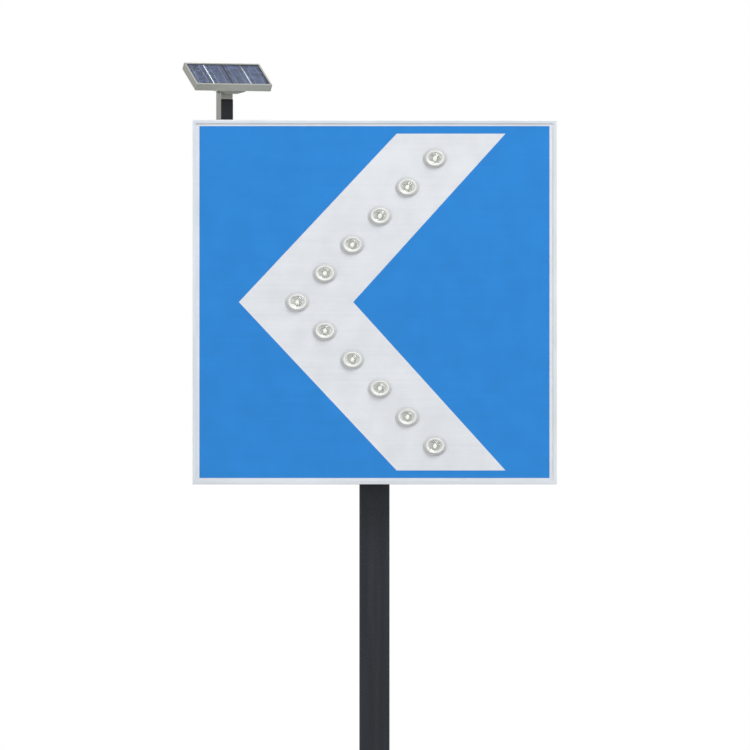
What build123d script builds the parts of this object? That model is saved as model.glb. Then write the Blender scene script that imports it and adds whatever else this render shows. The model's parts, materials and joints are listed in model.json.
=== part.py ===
"""Solar-powered LED chevron road sign on a square steel post.

A shallow aluminium sign box carries a reflective chevron with eleven lit lenses. A small solar
panel swivels and tilts on a mast behind the box's upper left corner. The box is strapped to the
front of a square post that stands on a bolted base plate.

Millimetres, +Z up. The origin is on the post's axis, on the ground under the base plate.
The sign faces -Y, and +X is to the right of someone who reads it.
"""

import math
import os

from build123d import *

os.makedirs("parts", exist_ok=True)


# Driving dimensions

# Post and base
post_side = 50.0
post_wall = 2.5
post_inner_corner = 1.5
post_below_sign_top = 60.0
cap_thickness = 4.0
cap_plug_depth = 18.0
cap_plug_gap = 0.2
base_side = 250.0
base_thickness = 12.0
base_corner = 12.0
base_edge_break = 1.0
anchor_spacing = 190.0
anchor_hole = 18.0
gusset_reach = 75.0
gusset_height = 100.0
gusset_toe = 10.0
gusset_thickness = 6.0

# Sign box
sign_width = 600.0
sign_height = 600.0
sign_ground_clearance = 1200.0
frame_depth = 45.0
frame_wall = 2.0
frame_edge_radius = 1.2
lip_width = 6.0
lip_thickness = 2.0
rib_width = 10.0
rib_thickness = 2.0
flange_width = 18.0
flange_thickness = 2.0
face_thickness = 2.0
face_edge_gap = 0.3
sheet_thickness = 0.4
back_thickness = 1.5
back_inset = 1.0
seal_thickness = 1.0
border_side = 12.0
border_end = 10.5
key_leg = 40.0
key_thickness = 3.0
key_front_gap = 6.0

# Chevron on the face, measured in from the edges of the blue field
chevron_tip_gap = 65.0
chevron_right_gap = 72.5
chevron_end_gap = 12.5
chevron_width_at_tip = 188.0
chevron_width_at_ends = 179.0

# Screws round the back plate
back_screw_inset = 10.0
back_screw_corner = 45.0
back_screws_per_side = 4
back_screw_diameter = 4.0
back_screw_head = 7.6
back_screw_head_height = 2.4
back_screw_grip = 4.0
fastener_gap = 0.2

# LED lamps
lamps_per_arm = 5
lamp_from_tip = 96.0
lamp_from_right_end = 116.0
lamp_from_end_edge = 40.5
bezel_width = 38.8
bezel_height = 31.8
bezel_rise = 6.0
bezel_outer_radius = 4.0
bezel_outer_share = 0.6
bezel_inner_radius = 2.4
bezel_inner_share = 0.37
lamp_gasket_thickness = 0.8
lamp_gasket_inset = 0.7
lens_width = 20.8
lens_height = 17.4
lens_rise = 3.6
lens_edge_radius = 3.2
lens_edge_share = 0.9
lens_gap = 0.15
lens_seat = 1.4
barrel_diameter = 22.0
barrel_bore = 15.0
barrel_length = 14.0
barrel_hole_gap = 0.25
lamp_nut_size = 32.0
lamp_nut_thickness = 5.0
lamp_nut_gap = 0.05
emitter_gap = 0.2
emitter_dome = 8.0
emitter_below_lens = 0.4
emitter_shoulder = 3.0
lamp_board_width = 26.0
lamp_board_thickness = 1.6
lamp_board_overhang = 16.0

# Mounting rails and post clamps
rail_end_inset = 150.0
rail_height = 36.0
rail_depth = 18.0
rail_wall = 2.0
rail_offset_z = 170.0
rivet_diameter = 4.0
rivet_head = 8.0
rivet_head_height = 1.4
rivet_end_inset = 30.0
rivets_per_rail = 5
strap_thickness = 4.0
strap_height = 40.0
strap_side_gap = 0.3
strap_inner_radius = 3.0
strap_ear = 34.0
clamp_bolt_diameter = 10.0
clamp_bolt_hole_gap = 0.5
clamp_bolt_head = 24.0
clamp_bolt_head_thickness = 5.0
clamp_bolt_tail = 4.0
clamp_washer_diameter = 21.0
clamp_washer_thickness = 2.0
clamp_nut_size = 18.5
clamp_nut_thickness = 8.0
thread_gap = 0.05

# Service door in the back plate
door_edge_inset = 58.0
door_opening_width = 160.0
door_opening_height = 170.0
door_opening_corner = 6.0
door_overlap = 12.0
door_thickness = 1.5
door_lip = 5.5
door_lip_gap = 0.5
door_corner = 5.0
door_gasket_width = 7.0
door_gasket_inset = 2.0
door_gasket_gap = 0.3
hinge_pin_diameter = 4.0
hinge_pin_gap = 0.06
hinge_knuckle = 8.0
hinge_side_gap = 1.0
hinge_leaf = 21.0
hinge_leaf_thickness = 1.5
hinge_height = 150.0
hinge_knuckles = 5
hinge_end_gap = 0.4
hinge_rivet_reach = 13.5
hinge_rivet_spacing = 100.0
lock_inset = 24.0
lock_head = 18.0
lock_head_height = 4.0
lock_barrel = 16.0
lock_barrel_gap = 0.08
lock_cam_length = 26.0
lock_cam_width = 10.0
lock_cam_thickness = 2.5
lock_cam_gap = 1.0
lock_slot_width = 2.4
lock_slot_length = 11.0
lock_slot_depth = 1.5

# Power switch in the back plate
switch_drop = 131.0
switch_flange = 25.0
switch_flange_height = 2.0
switch_barrel = 20.0
switch_barrel_depth = 14.0
switch_hole_gap = 0.1
switch_slot_width = 11.0
switch_slot_height = 15.0
switch_slot_depth = 9.0
rocker_side_gap = 0.2
rocker_half_length = 6.2
rocker_rise = 3.5
rocker_dip = 1.6
rocker_root_half = 4.0
rocker_root_depth = 5.0
rocker_pivot_depth = 2.0
rocker_pin = 2.5
rocker_pin_reach = 1.2
rocker_pin_gap = 0.05
rocker_throw = 20.0

# Equipment inside the box
tray_width = 150.0
tray_height = 150.0
tray_thickness = 1.5
standoff_diameter = 8.0
standoff_height = 4.0
standoff_inset = 8.0
cell_diameter = 18.4
cell_length = 65.0
cell_count = 4
cell_gap = 0.3
holder_wall = 2.0
holder_floor = 1.5
holder_rim = 8.0
equipment_margin = 3.0
board_width = 46.0
board_height = 92.0
board_thickness = 1.6
capacitor_diameter = 8.0
capacitor_height = 11.0
terminal_width = 34.0
terminal_depth = 9.0
terminal_height = 9.0
chip_side = 14.0
chip_height = 2.4

# Solar mast and its foot
mast_edge_inset = 52.0
mast_stand_off = 20.0
mast_side = 21.0
mast_wall = 2.0
mast_edge_radius = 1.0
foot_width = 70.0
foot_height = 70.0
foot_thickness = 3.0
foot_corner = 5.0
foot_below_top = 15.0
foot_screw_spacing = 52.0
foot_screw_diameter = 5.0
foot_screw_head = 9.6
foot_screw_head_height = 3.0
foot_screw_grip = 5.0
socket_diameter = 26.0
socket_neck = 18.0
socket_length = 60.0
spigot_diameter = 16.0
spigot_gap = 0.06
collar_diameter = 30.0
collar_thickness = 4.0
collar_gap = 0.1
lock_bolt_diameter = 6.0
lock_bolt_head = 11.5
lock_bolt_head_height = 4.5
lock_bolt_stand_off = 5.0
lock_bolt_tip_gap = 0.1
grommet_hole = 14.0
grommet_flange = 20.0
grommet_flange_height = 2.5
grommet_below_foot = 16.0
mast_cover_thickness = 2.2
mast_cover_gap = 0.1
mast_cover_lap = 1.4
mast_cover_below_pivot = 18.5
mast_tie_gap = 0.2
mast_tie_below_pivot = 8.0

# Solar panel and its tilting cradle
panel_width = 135.0
panel_depth = 66.0
panel_thickness = 12.5
panel_yaw = 24.0
panel_tilt = 34.0
pivot_above_sign = 53.5
pivot_below_mast_top = 8.0
tilt_bolt_diameter = 6.0
tilt_bolt_gap = 0.06
tilt_bolt_head = 11.5
tilt_bolt_head_height = 4.0
tilt_nut_height = 5.0
tilt_washer_diameter = 12.0
tilt_washer_thickness = 1.2
tilt_bolt_tail = 2.0
ear_gap = 0.3
ear_thickness = 2.0
ear_radius = 8.0
cradle_mast_gap = 0.8
cradle_thickness = 2.0
cradle_width = 46.0
cradle_edge_inset = 1.0
cradle_nose_drop = 4.5
cradle_nose_width = 19.0
cradle_screw_diameter = 3.0
cradle_screw_head = 5.6
cradle_screw_head_height = 1.8
cradle_screw_spacing = 34.0
cradle_screw_inset = 6.0
panel_rail_wall = 1.5
panel_lip_width = 3.0
panel_lip_thickness = 1.2
panel_flange_width = 9.0
panel_flange_thickness = 1.2
panel_edge_gap = 0.2
glass_thickness = 2.5
cell_thickness = 0.3
backsheet_thickness = 0.6
cell_columns = 4
cell_column_gap = 2.0
cell_under_lip = 0.8
junction_width = 24.0
junction_depth = 24.0
junction_height = 11.0
junction_edge_gap = 0.5
junction_radius = 2.0
junction_gland_diameter = 8.0
junction_gland_length = 7.0


# Places worked out from the driving dimensions

# Heights
sign_bottom = sign_ground_clearance
sign_top = sign_bottom + sign_height
sign_middle = sign_bottom + sign_height / 2
post_top = sign_top - post_below_sign_top
post_corner = post_inner_corner + post_wall

# Depths, from the post forwards to the sign's face
post_front_y = -post_side / 2
post_rear_y = post_side / 2
rail_rear_y = post_front_y
back_rear_y = rail_rear_y - rail_depth
back_front_y = back_rear_y - back_thickness
frame_rear_y = back_front_y - seal_thickness
frame_front_y = frame_rear_y - frame_depth
sheet_front_y = frame_front_y + lip_thickness
plate_front_y = sheet_front_y + sheet_thickness
plate_rear_y = plate_front_y + face_thickness
groove_rear = lip_thickness + sheet_thickness + face_thickness

# Sizes of the plates inside the frame
plate_width = sign_width - 2 * (frame_wall + face_edge_gap)
plate_height = sign_height - 2 * (frame_wall + face_edge_gap)
field_width = sign_width - 2 * border_side
field_height = sign_height - 2 * border_end
back_width = sign_width - 2 * back_inset
back_height = sign_height - 2 * back_inset

# Chevron corners, from the middle of the sign
chevron_height = field_height - 2 * chevron_end_gap
chevron_tip_x = chevron_tip_gap - field_width / 2
chevron_notch_x = chevron_tip_x + chevron_width_at_tip
chevron_end_right_x = field_width / 2 - chevron_right_gap
chevron_end_left_x = chevron_end_right_x - chevron_width_at_ends

# Lamp places, from the tip of the chevron outwards along both arms
lamp_tip_x = chevron_tip_x + lamp_from_tip
lamp_pitch_x = (chevron_end_right_x - lamp_from_right_end - lamp_tip_x) / lamps_per_arm
lamp_pitch_z = (chevron_height / 2 - lamp_from_end_edge) / lamps_per_arm
lamp_steps = range(-lamps_per_arm, lamps_per_arm + 1)
lamp_points = [(lamp_tip_x + abs(step) * lamp_pitch_x, step * lamp_pitch_z) for step in lamp_steps]
lamp_pitch = math.hypot(lamp_pitch_x, lamp_pitch_z)
arm_angle = math.degrees(math.atan2(lamp_pitch_z, lamp_pitch_x))
lamp_hole = barrel_diameter + 2 * barrel_hole_gap
bezel_ring = min(bezel_width - lens_width, bezel_height - lens_height) / 2 - lens_gap

# Back plate screw places
screw_line_x = sign_width / 2 - back_screw_inset
screw_line_z = sign_height / 2 - back_screw_inset
side_steps = [2 * n / (back_screws_per_side - 1) - 1 for n in range(back_screws_per_side)]
screw_row_x = sign_width / 2 - back_screw_corner
screw_row_z = sign_height / 2 - back_screw_corner
back_screw_points = [(s * screw_row_x, e * screw_line_z) for s in side_steps for e in (1, -1)]
back_screw_points += [(e * screw_line_x, s * screw_row_z) for s in side_steps for e in (1, -1)]
back_screw_hole = back_screw_diameter + 2 * fastener_gap

# Rail, rivet and clamp bolt places
rail_length = sign_width - 2 * rail_end_inset
rail_slot = clamp_bolt_diameter + 2 * clamp_bolt_hole_gap
rivet_reach = rail_length / 2 - rivet_end_inset
rivet_steps = [rivet_reach * (2 * n / (rivets_per_rail - 1) - 1) for n in range(rivets_per_rail)]
rail_rivet_points = [(x, e * rail_offset_z) for x in rivet_steps for e in (1, -1)]
rivet_hole = rivet_diameter + 2 * fastener_gap
strap_half = post_side / 2 + strap_side_gap
strap_ear_end = strap_half + strap_thickness + strap_ear
clamp_bolt_x = strap_half + strap_thickness + strap_ear / 2
clamp_bolt_points = [(sx * clamp_bolt_x, sz * rail_offset_z) for sx in (1, -1) for sz in (1, -1)]
clamp_bolt_hole = clamp_bolt_diameter + 2 * clamp_bolt_hole_gap

# Service door
door_width = door_opening_width + 2 * door_overlap
door_height = door_opening_height + 2 * door_overlap
door_x = sign_width / 2 - door_edge_inset - door_width / 2
door_skin_y = back_rear_y + door_lip_gap + door_lip
door_outer_y = door_skin_y + door_thickness
hinge_x = door_x + door_width / 2 + hinge_side_gap + hinge_knuckle / 2
hinge_y = door_outer_y + hinge_leaf_thickness - hinge_knuckle / 2
knuckle_pitch = hinge_height / hinge_knuckles
leaf_rivet_points = [(hinge_x + hinge_rivet_reach, e * hinge_rivet_spacing / 2) for e in (1, -1)]
lock_x = door_x - door_width / 2 + lock_inset

# Solar mast and panel
mast_x = mast_edge_inset - sign_width / 2
mast_y = back_rear_y + mast_stand_off
socket_top = sign_top - foot_below_top
socket_bottom = socket_top - socket_length
foot_middle_z = sign_top - foot_below_top - foot_height / 2 - sign_middle
collar_bottom = socket_top + collar_gap
mast_bottom = collar_bottom + collar_thickness
pivot_z = sign_top + pivot_above_sign
mast_top = pivot_z + pivot_below_mast_top
cover_top = pivot_z - mast_cover_below_pivot
tie_bottom = cover_top + mast_tie_gap
tie_top = pivot_z - mast_tie_below_pivot
yaw = math.radians(panel_yaw)
tilt = math.radians(panel_tilt)
cradle_rise = math.hypot(mast_side / 2, pivot_below_mast_top) + cradle_mast_gap
panel_bottom = cradle_rise + cradle_thickness
panel_top = panel_bottom + panel_thickness
glass_top = panel_top - panel_lip_thickness
cell_top = glass_top - glass_thickness
backsheet_top = cell_top - cell_thickness
backsheet_bottom = backsheet_top - backsheet_thickness
junction_x = panel_width / 2 - panel_flange_width - junction_edge_gap - junction_width / 2
grommet_z = foot_middle_z - foot_height / 2 - grommet_below_foot

# Equipment inside the box
tray_front_y = plate_rear_y + standoff_height
tray_rear_y = tray_front_y + tray_thickness
board_front_y = tray_rear_y + standoff_height
board_rear_y = board_front_y + board_thickness
battery_width = cell_count * (cell_diameter + cell_gap) + cell_gap
battery_height = cell_length + 2 * cell_gap
battery_x = equipment_margin + holder_wall + (battery_width - tray_width) / 2
board_x = (tray_width - board_width) / 2 - equipment_margin
tray_standoff_points = [
    (door_x + sx * (tray_width / 2 - standoff_inset), sz * (tray_height / 2 - standoff_inset))
    for sx in (1, -1)
    for sz in (1, -1)
]
board_standoff_points = [
    (door_x + board_x + sx * (board_width / 2 - standoff_inset), sz * (board_height / 2 - standoff_inset))
    for sx in (1, -1)
    for sz in (1, -1)
]


# Working planes and helpers


def face_plane(y):
    """A plane across the sign at depth y: x to the reader's right, y up, normal towards the reader."""
    return Plane(origin=(0, y, sign_middle), x_dir=(1, 0, 0), z_dir=(0, -1, 0))


def rail_plane(origin, inward, depth):
    """The section plane of a frame rail: x runs inwards from the outer face, y through the depth."""
    return Plane(origin=origin, x_dir=inward, z_dir=Vector(inward).cross(Vector(depth)))


mast_plane = Plane(
    origin=(mast_x, mast_y, 0),
    x_dir=(math.cos(yaw), math.sin(yaw), 0),
    z_dir=(0, 0, 1),
)
panel_plane = Plane(
    origin=(mast_x, mast_y, pivot_z),
    x_dir=mast_plane.x_dir,
    z_dir=(math.sin(yaw) * math.sin(tilt), -math.cos(yaw) * math.sin(tilt), math.cos(tilt)),
)
panel_side_plane = Plane(origin=panel_plane.origin, x_dir=panel_plane.y_dir, z_dir=panel_plane.x_dir)
mast_side_plane = Plane(origin=panel_plane.origin, x_dir=mast_plane.y_dir, z_dir=mast_plane.x_dir)


def save(builder, label):
    """Labels a finished sub-part and writes it as one STEP file."""
    builder.part.label = label
    export_step(builder.part, f"parts/{label}.step")


def mitred_rail(profile, length, plane, edge_radius=0.0):
    """One frame rail with its profile drawn on plane and both ends cut at 45 degrees."""
    with BuildPart() as rail:
        with BuildSketch(plane) as section:
            with BuildLine():
                Polyline(*profile, close=True)
            make_face()
            if edge_radius:
                fillet(section.vertices().group_by(Axis.X)[0], edge_radius)
        extrude(amount=length / 2, both=True)
        for end in (1, -1):
            corner = plane.from_local_coords((0, 0, end * length / 2))
            split(bisect_by=Plane(corner, z_dir=plane.x_dir + plane.z_dir * end), keep=Keep.BOTTOM)
    return rail.part


# Post and base

with BuildPart() as post_tube:
    with BuildSketch(Plane.XY.offset(base_thickness)):
        RectangleRounded(post_side, post_side, post_corner)
        inner_side = post_side - 2 * post_wall
        RectangleRounded(inner_side, inner_side, post_inner_corner, mode=Mode.SUBTRACT)
    extrude(amount=post_top - base_thickness)
save(post_tube, "post_tube")

with BuildPart() as post_cap:
    with BuildSketch(Plane.XY.offset(post_top)):
        RectangleRounded(post_side, post_side, post_corner)
    extrude(amount=cap_thickness)
    fillet(post_cap.faces().sort_by(Axis.Z)[-1].edges(), cap_thickness / 2)
    with BuildSketch(Plane.XY.offset(post_top)):
        plug_side = inner_side - 2 * cap_plug_gap
        RectangleRounded(plug_side, plug_side, post_inner_corner)
    extrude(amount=-cap_plug_depth)
save(post_cap, "post_cap")

with BuildPart() as base_plate:
    with BuildSketch():
        RectangleRounded(base_side, base_side, base_corner)
        with GridLocations(anchor_spacing, anchor_spacing, 2, 2):
            Circle(anchor_hole / 2, mode=Mode.SUBTRACT)
    extrude(amount=base_thickness)
    chamfer(base_plate.faces().sort_by(Axis.Z)[-1].outer_wire().edges(), base_edge_break)
save(base_plate, "base_plate")

with BuildPart() as gusset:
    with BuildSketch(Plane.XZ):
        with BuildLine():
            Polyline(
                (post_side / 2, base_thickness),
                (post_side / 2 + gusset_reach, base_thickness),
                (post_side / 2 + gusset_reach, base_thickness + gusset_toe),
                (post_side / 2 + gusset_toe, base_thickness + gusset_height),
                (post_side / 2, base_thickness + gusset_height),
                close=True,
            )
        make_face()
    extrude(amount=gusset_thickness / 2, both=True)

with BuildPart() as base_gussets:
    with PolarLocations(0, 4):
        add(gusset.part)
save(base_gussets, "base_gussets")


# Sign box: four mitred frame rails, face plate, sheeting, back plate

frame_profile = [
    (0, 0),
    (lip_width, 0),
    (lip_width, lip_thickness),
    (frame_wall, lip_thickness),
    (frame_wall, groove_rear),
    (rib_width, groove_rear),
    (rib_width, groove_rear + rib_thickness),
    (frame_wall, groove_rear + rib_thickness),
    (frame_wall, frame_depth - flange_thickness),
    (flange_width, frame_depth - flange_thickness),
    (flange_width, frame_depth),
    (0, frame_depth),
]
frame_sides = {
    "frame_top": ((0, frame_front_y, sign_top), (0, 0, -1), sign_width),
    "frame_bottom": ((0, frame_front_y, sign_bottom), (0, 0, 1), sign_width),
    "frame_left": ((-sign_width / 2, frame_front_y, sign_middle), (1, 0, 0), sign_height),
    "frame_right": ((sign_width / 2, frame_front_y, sign_middle), (-1, 0, 0), sign_height),
}
for side_name, (side_origin, side_inward, side_length) in frame_sides.items():
    side_plane = rail_plane(side_origin, side_inward, (0, 1, 0))
    with BuildPart() as frame_side:
        add(mitred_rail(frame_profile, side_length, side_plane, frame_edge_radius))
        with BuildSketch(face_plane(frame_rear_y)):
            with Locations(*back_screw_points):
                Circle(back_screw_hole / 2)
        extrude(amount=flange_thickness, mode=Mode.SUBTRACT)
    save(frame_side, side_name)

with BuildPart() as corner_keys:
    key_x = sign_width / 2 - frame_wall
    key_z = sign_height / 2 - frame_wall
    key_rear_y = frame_rear_y - flange_thickness
    key_depth = frame_depth - flange_thickness - groove_rear - rib_thickness - key_front_gap
    for sx in (1, -1):
        for sz in (1, -1):
            with BuildSketch(face_plane(key_rear_y)):
                with BuildLine():
                    Polyline(
                        (sx * key_x, sz * key_z),
                        (sx * (key_x - key_leg), sz * key_z),
                        (sx * (key_x - key_leg), sz * (key_z - key_thickness)),
                        (sx * (key_x - key_thickness), sz * (key_z - key_thickness)),
                        (sx * (key_x - key_thickness), sz * (key_z - key_leg)),
                        (sx * key_x, sz * (key_z - key_leg)),
                        close=True,
                    )
                make_face()
            extrude(amount=key_depth)
save(corner_keys, "corner_keys")

with BuildPart() as face_plate:
    with BuildSketch(face_plane(plate_rear_y)):
        Rectangle(plate_width, plate_height)
        with Locations(*lamp_points):
            Circle(lamp_hole / 2, mode=Mode.SUBTRACT)
    extrude(amount=face_thickness)
save(face_plate, "face_plate")

with BuildSketch() as chevron_shape:
    with BuildLine():
        Polyline(
            (chevron_tip_x, 0),
            (chevron_end_left_x, chevron_height / 2),
            (chevron_end_right_x, chevron_height / 2),
            (chevron_notch_x, 0),
            (chevron_end_right_x, -chevron_height / 2),
            (chevron_end_left_x, -chevron_height / 2),
            close=True,
        )
    make_face()

with BuildPart() as blue_sheeting:
    with BuildSketch(face_plane(plate_front_y)):
        Rectangle(field_width, field_height)
        add(chevron_shape.sketch, mode=Mode.SUBTRACT)
    extrude(amount=sheet_thickness)
save(blue_sheeting, "blue_sheeting")

with BuildPart() as white_chevron:
    with BuildSketch(face_plane(plate_front_y)):
        add(chevron_shape.sketch)
        with Locations(*lamp_points):
            Circle(lamp_hole / 2, mode=Mode.SUBTRACT)
    extrude(amount=sheet_thickness)
save(white_chevron, "white_chevron")

with BuildPart() as white_border:
    with BuildSketch(face_plane(plate_front_y)):
        Rectangle(plate_width, plate_height)
        Rectangle(field_width, field_height, mode=Mode.SUBTRACT)
    extrude(amount=sheet_thickness)
save(white_border, "white_border")

with BuildPart() as back_plate:
    with BuildSketch(face_plane(back_rear_y)):
        RectangleRounded(back_width, back_height, frame_wall)
        with Locations((door_x, 0)):
            door_hole = (door_opening_width, door_opening_height, door_opening_corner)
            RectangleRounded(*door_hole, mode=Mode.SUBTRACT)
        with Locations(*back_screw_points):
            Circle(back_screw_hole / 2, mode=Mode.SUBTRACT)
        with Locations(*rail_rivet_points, *leaf_rivet_points):
            Circle(rivet_hole / 2, mode=Mode.SUBTRACT)
        with Locations((door_x, -switch_drop)):
            Circle(switch_barrel / 2 + switch_hole_gap, mode=Mode.SUBTRACT)
        with Locations((mast_x, grommet_z)):
            Circle(grommet_hole / 2, mode=Mode.SUBTRACT)
        with Locations((mast_x, foot_middle_z)):
            with GridLocations(foot_screw_spacing, foot_screw_spacing, 2, 2):
                Circle(foot_screw_diameter / 2 + fastener_gap, mode=Mode.SUBTRACT)
    extrude(amount=back_thickness)
save(back_plate, "back_plate")

with BuildPart() as back_seal:
    with BuildSketch(face_plane(back_front_y)):
        RectangleRounded(back_width, back_height, frame_wall)
        Rectangle(sign_width - 2 * flange_width, sign_height - 2 * flange_width, mode=Mode.SUBTRACT)
        with Locations(*back_screw_points):
            Circle(back_screw_hole / 2, mode=Mode.SUBTRACT)
    extrude(amount=seal_thickness)
save(back_seal, "back_seal")

with BuildPart() as back_screws:
    with BuildSketch(face_plane(back_rear_y)):
        with Locations(*back_screw_points):
            Circle(back_screw_head / 2)
    extrude(amount=-back_screw_head_height)
    fillet(back_screws.edges().group_by(Axis.Y)[-1], back_screw_head_height / 2)
    with BuildSketch(face_plane(back_rear_y)):
        with Locations(*back_screw_points):
            Circle(back_screw_diameter / 2)
    extrude(amount=back_thickness + seal_thickness + flange_thickness + back_screw_grip)
save(back_screws, "back_screws")


# LED lamps: gasket, oval bezel with its barrel, lens, emitter, nut and the boards behind

with BuildPart() as lamp_gaskets:
    with BuildSketch(face_plane(sheet_front_y)):
        with Locations(*lamp_points):
            Ellipse(bezel_width / 2 - lamp_gasket_inset, bezel_height / 2 - lamp_gasket_inset)
            Circle(lamp_hole / 2, mode=Mode.SUBTRACT)
    extrude(amount=lamp_gasket_thickness)
save(lamp_gaskets, "lamp_gaskets")

bezel_base_y = sheet_front_y - lamp_gasket_thickness
lens_base_y = bezel_base_y - lens_seat
with BuildPart() as lamp_bezel:
    with BuildSketch(Plane.XY):
        Ellipse(bezel_width / 2, bezel_height / 2)
    extrude(amount=bezel_rise)
    rim = lamp_bezel.faces().sort_by(Axis.Z)[-1].edges()
    fillet(rim, min(bezel_outer_radius, bezel_outer_share * bezel_ring))
    with BuildSketch(Plane.XY.offset(lens_seat)):
        Ellipse(lens_width / 2 + lens_gap, lens_height / 2 + lens_gap)
    extrude(amount=bezel_rise, mode=Mode.SUBTRACT)
    mouth = lamp_bezel.faces().sort_by(Axis.Z)[-1].inner_wires().edges()
    fillet(mouth, min(bezel_inner_radius, bezel_inner_share * bezel_ring))
    with BuildSketch(Plane.XY):
        Circle(barrel_diameter / 2)
    extrude(amount=-barrel_length)
    with BuildSketch(Plane.XY.offset(lens_seat)):
        Circle(barrel_bore / 2)
    extrude(amount=-(barrel_length + lens_seat), mode=Mode.SUBTRACT)

with BuildPart() as lamp_bezels:
    with Locations(face_plane(bezel_base_y)):
        with Locations(*lamp_points):
            add(lamp_bezel.part)
save(lamp_bezels, "lamp_bezels")

with BuildPart() as lamp_lens:
    with BuildSketch(Plane.XY):
        Ellipse(lens_width / 2, lens_height / 2)
    extrude(amount=lens_rise)
    crown = lamp_lens.faces().sort_by(Axis.Z)[-1].edges()
    fillet(crown, min(lens_edge_radius, lens_edge_share * lens_rise))

with BuildPart() as lamp_lenses:
    with Locations(face_plane(lens_base_y)):
        with Locations(*lamp_points):
            add(lamp_lens.part)
save(lamp_lenses, "lamp_lenses")

with BuildPart() as lamp_emitters:
    barrel_rear_y = bezel_base_y + barrel_length
    dome_tip = barrel_length + lens_seat - emitter_below_lens
    with BuildSketch(face_plane(barrel_rear_y)):
        with Locations(*lamp_points):
            Circle(barrel_bore / 2 - emitter_gap)
    extrude(amount=dome_tip - emitter_dome / 2 - emitter_shoulder)
    with BuildSketch(face_plane(barrel_rear_y)):
        with Locations(*lamp_points):
            Circle(emitter_dome / 2)
    extrude(amount=dome_tip - emitter_dome / 2)
    with Locations(face_plane(barrel_rear_y - dome_tip + emitter_dome / 2)):
        with Locations(*lamp_points):
            Sphere(emitter_dome / 2)
save(lamp_emitters, "lamp_emitters")

with BuildPart() as lamp_nuts:
    with BuildSketch(face_plane(plate_rear_y)):
        with Locations(*lamp_points):
            RegularPolygon(lamp_nut_size / 2, 6)
            Circle(barrel_diameter / 2 + lamp_nut_gap, mode=Mode.SUBTRACT)
    extrude(amount=-lamp_nut_thickness)
save(lamp_nuts, "lamp_nuts")

with BuildPart() as lamp_boards:
    for direction, first in ((1, 0), (-1, 1)):
        middle = (first + lamps_per_arm) / 2
        board_length = (lamps_per_arm - first) * lamp_pitch + 2 * lamp_board_overhang
        with BuildSketch(face_plane(barrel_rear_y)):
            with Locations((lamp_tip_x + middle * lamp_pitch_x, direction * middle * lamp_pitch_z)):
                Rectangle(board_length, lamp_board_width, rotation=direction * arm_angle)
        extrude(amount=-lamp_board_thickness)
save(lamp_boards, "lamp_boards")


# Mounting rails, rivets and the straps that clamp them to the post

for rail_name, rail_sign in (("mounting_rail_upper", 1), ("mounting_rail_lower", -1)):
    with BuildPart() as mounting_rail:
        with BuildSketch(Plane.YZ):
            with Locations((rail_rear_y - rail_depth / 2, sign_middle + rail_sign * rail_offset_z)):
                Rectangle(rail_depth, rail_height)
                Rectangle(rail_depth - 2 * rail_wall, rail_height - 2 * rail_wall, mode=Mode.SUBTRACT)
            with Locations((rail_rear_y - rail_wall / 2, sign_middle + rail_sign * rail_offset_z)):
                Rectangle(rail_wall, rail_slot, mode=Mode.SUBTRACT)
        extrude(amount=rail_length / 2, both=True)
        with BuildSketch(face_plane(back_rear_y)):
            with Locations(*rail_rivet_points):
                Circle(rivet_hole / 2)
        extrude(amount=-rail_wall, mode=Mode.SUBTRACT)
    save(mounting_rail, rail_name)

with BuildPart() as body_rivets:
    for points, grip in ((rail_rivet_points, rail_wall), (leaf_rivet_points, hinge_leaf_thickness)):
        head_y = back_rear_y + grip
        with BuildSketch(face_plane(head_y)):
            with Locations(*points):
                Circle(rivet_head / 2)
        extrude(amount=-rivet_head_height)
        with BuildSketch(face_plane(head_y)):
            with Locations(*points):
                Circle(rivet_diameter / 2)
        extrude(amount=head_y - back_front_y)
        with BuildSketch(face_plane(back_front_y)):
            with Locations(*points):
                Circle(rivet_head / 2)
        extrude(amount=rivet_head_height)
save(body_rivets, "body_rivets")

with BuildPart() as clamp_straps:
    for rail_sign in (1, -1):
        strap_bottom = sign_middle + rail_sign * rail_offset_z - strap_height / 2
        with BuildSketch(Plane.XY.offset(strap_bottom)) as strap_shape:
            with BuildLine():
                Polyline(
                    (strap_ear_end, rail_rear_y),
                    (strap_half, rail_rear_y),
                    (strap_half, post_rear_y),
                    (-strap_half, post_rear_y),
                    (-strap_half, rail_rear_y),
                    (-strap_ear_end, rail_rear_y),
                    (-strap_ear_end, rail_rear_y + strap_thickness),
                    (-strap_half - strap_thickness, rail_rear_y + strap_thickness),
                    (-strap_half - strap_thickness, post_rear_y + strap_thickness),
                    (strap_half + strap_thickness, post_rear_y + strap_thickness),
                    (strap_half + strap_thickness, rail_rear_y + strap_thickness),
                    (strap_ear_end, rail_rear_y + strap_thickness),
                    close=True,
                )
            make_face()
            fillet(strap_shape.vertices().group_by(Axis.Y)[-2], strap_inner_radius)
            fillet(strap_shape.vertices().group_by(Axis.Y)[-1], strap_inner_radius + strap_thickness)
        extrude(amount=strap_height)
    with BuildSketch(face_plane(rail_rear_y)):
        with Locations(*clamp_bolt_points):
            Circle(clamp_bolt_hole / 2)
    extrude(amount=-strap_thickness, mode=Mode.SUBTRACT)
save(clamp_straps, "clamp_straps")

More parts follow.
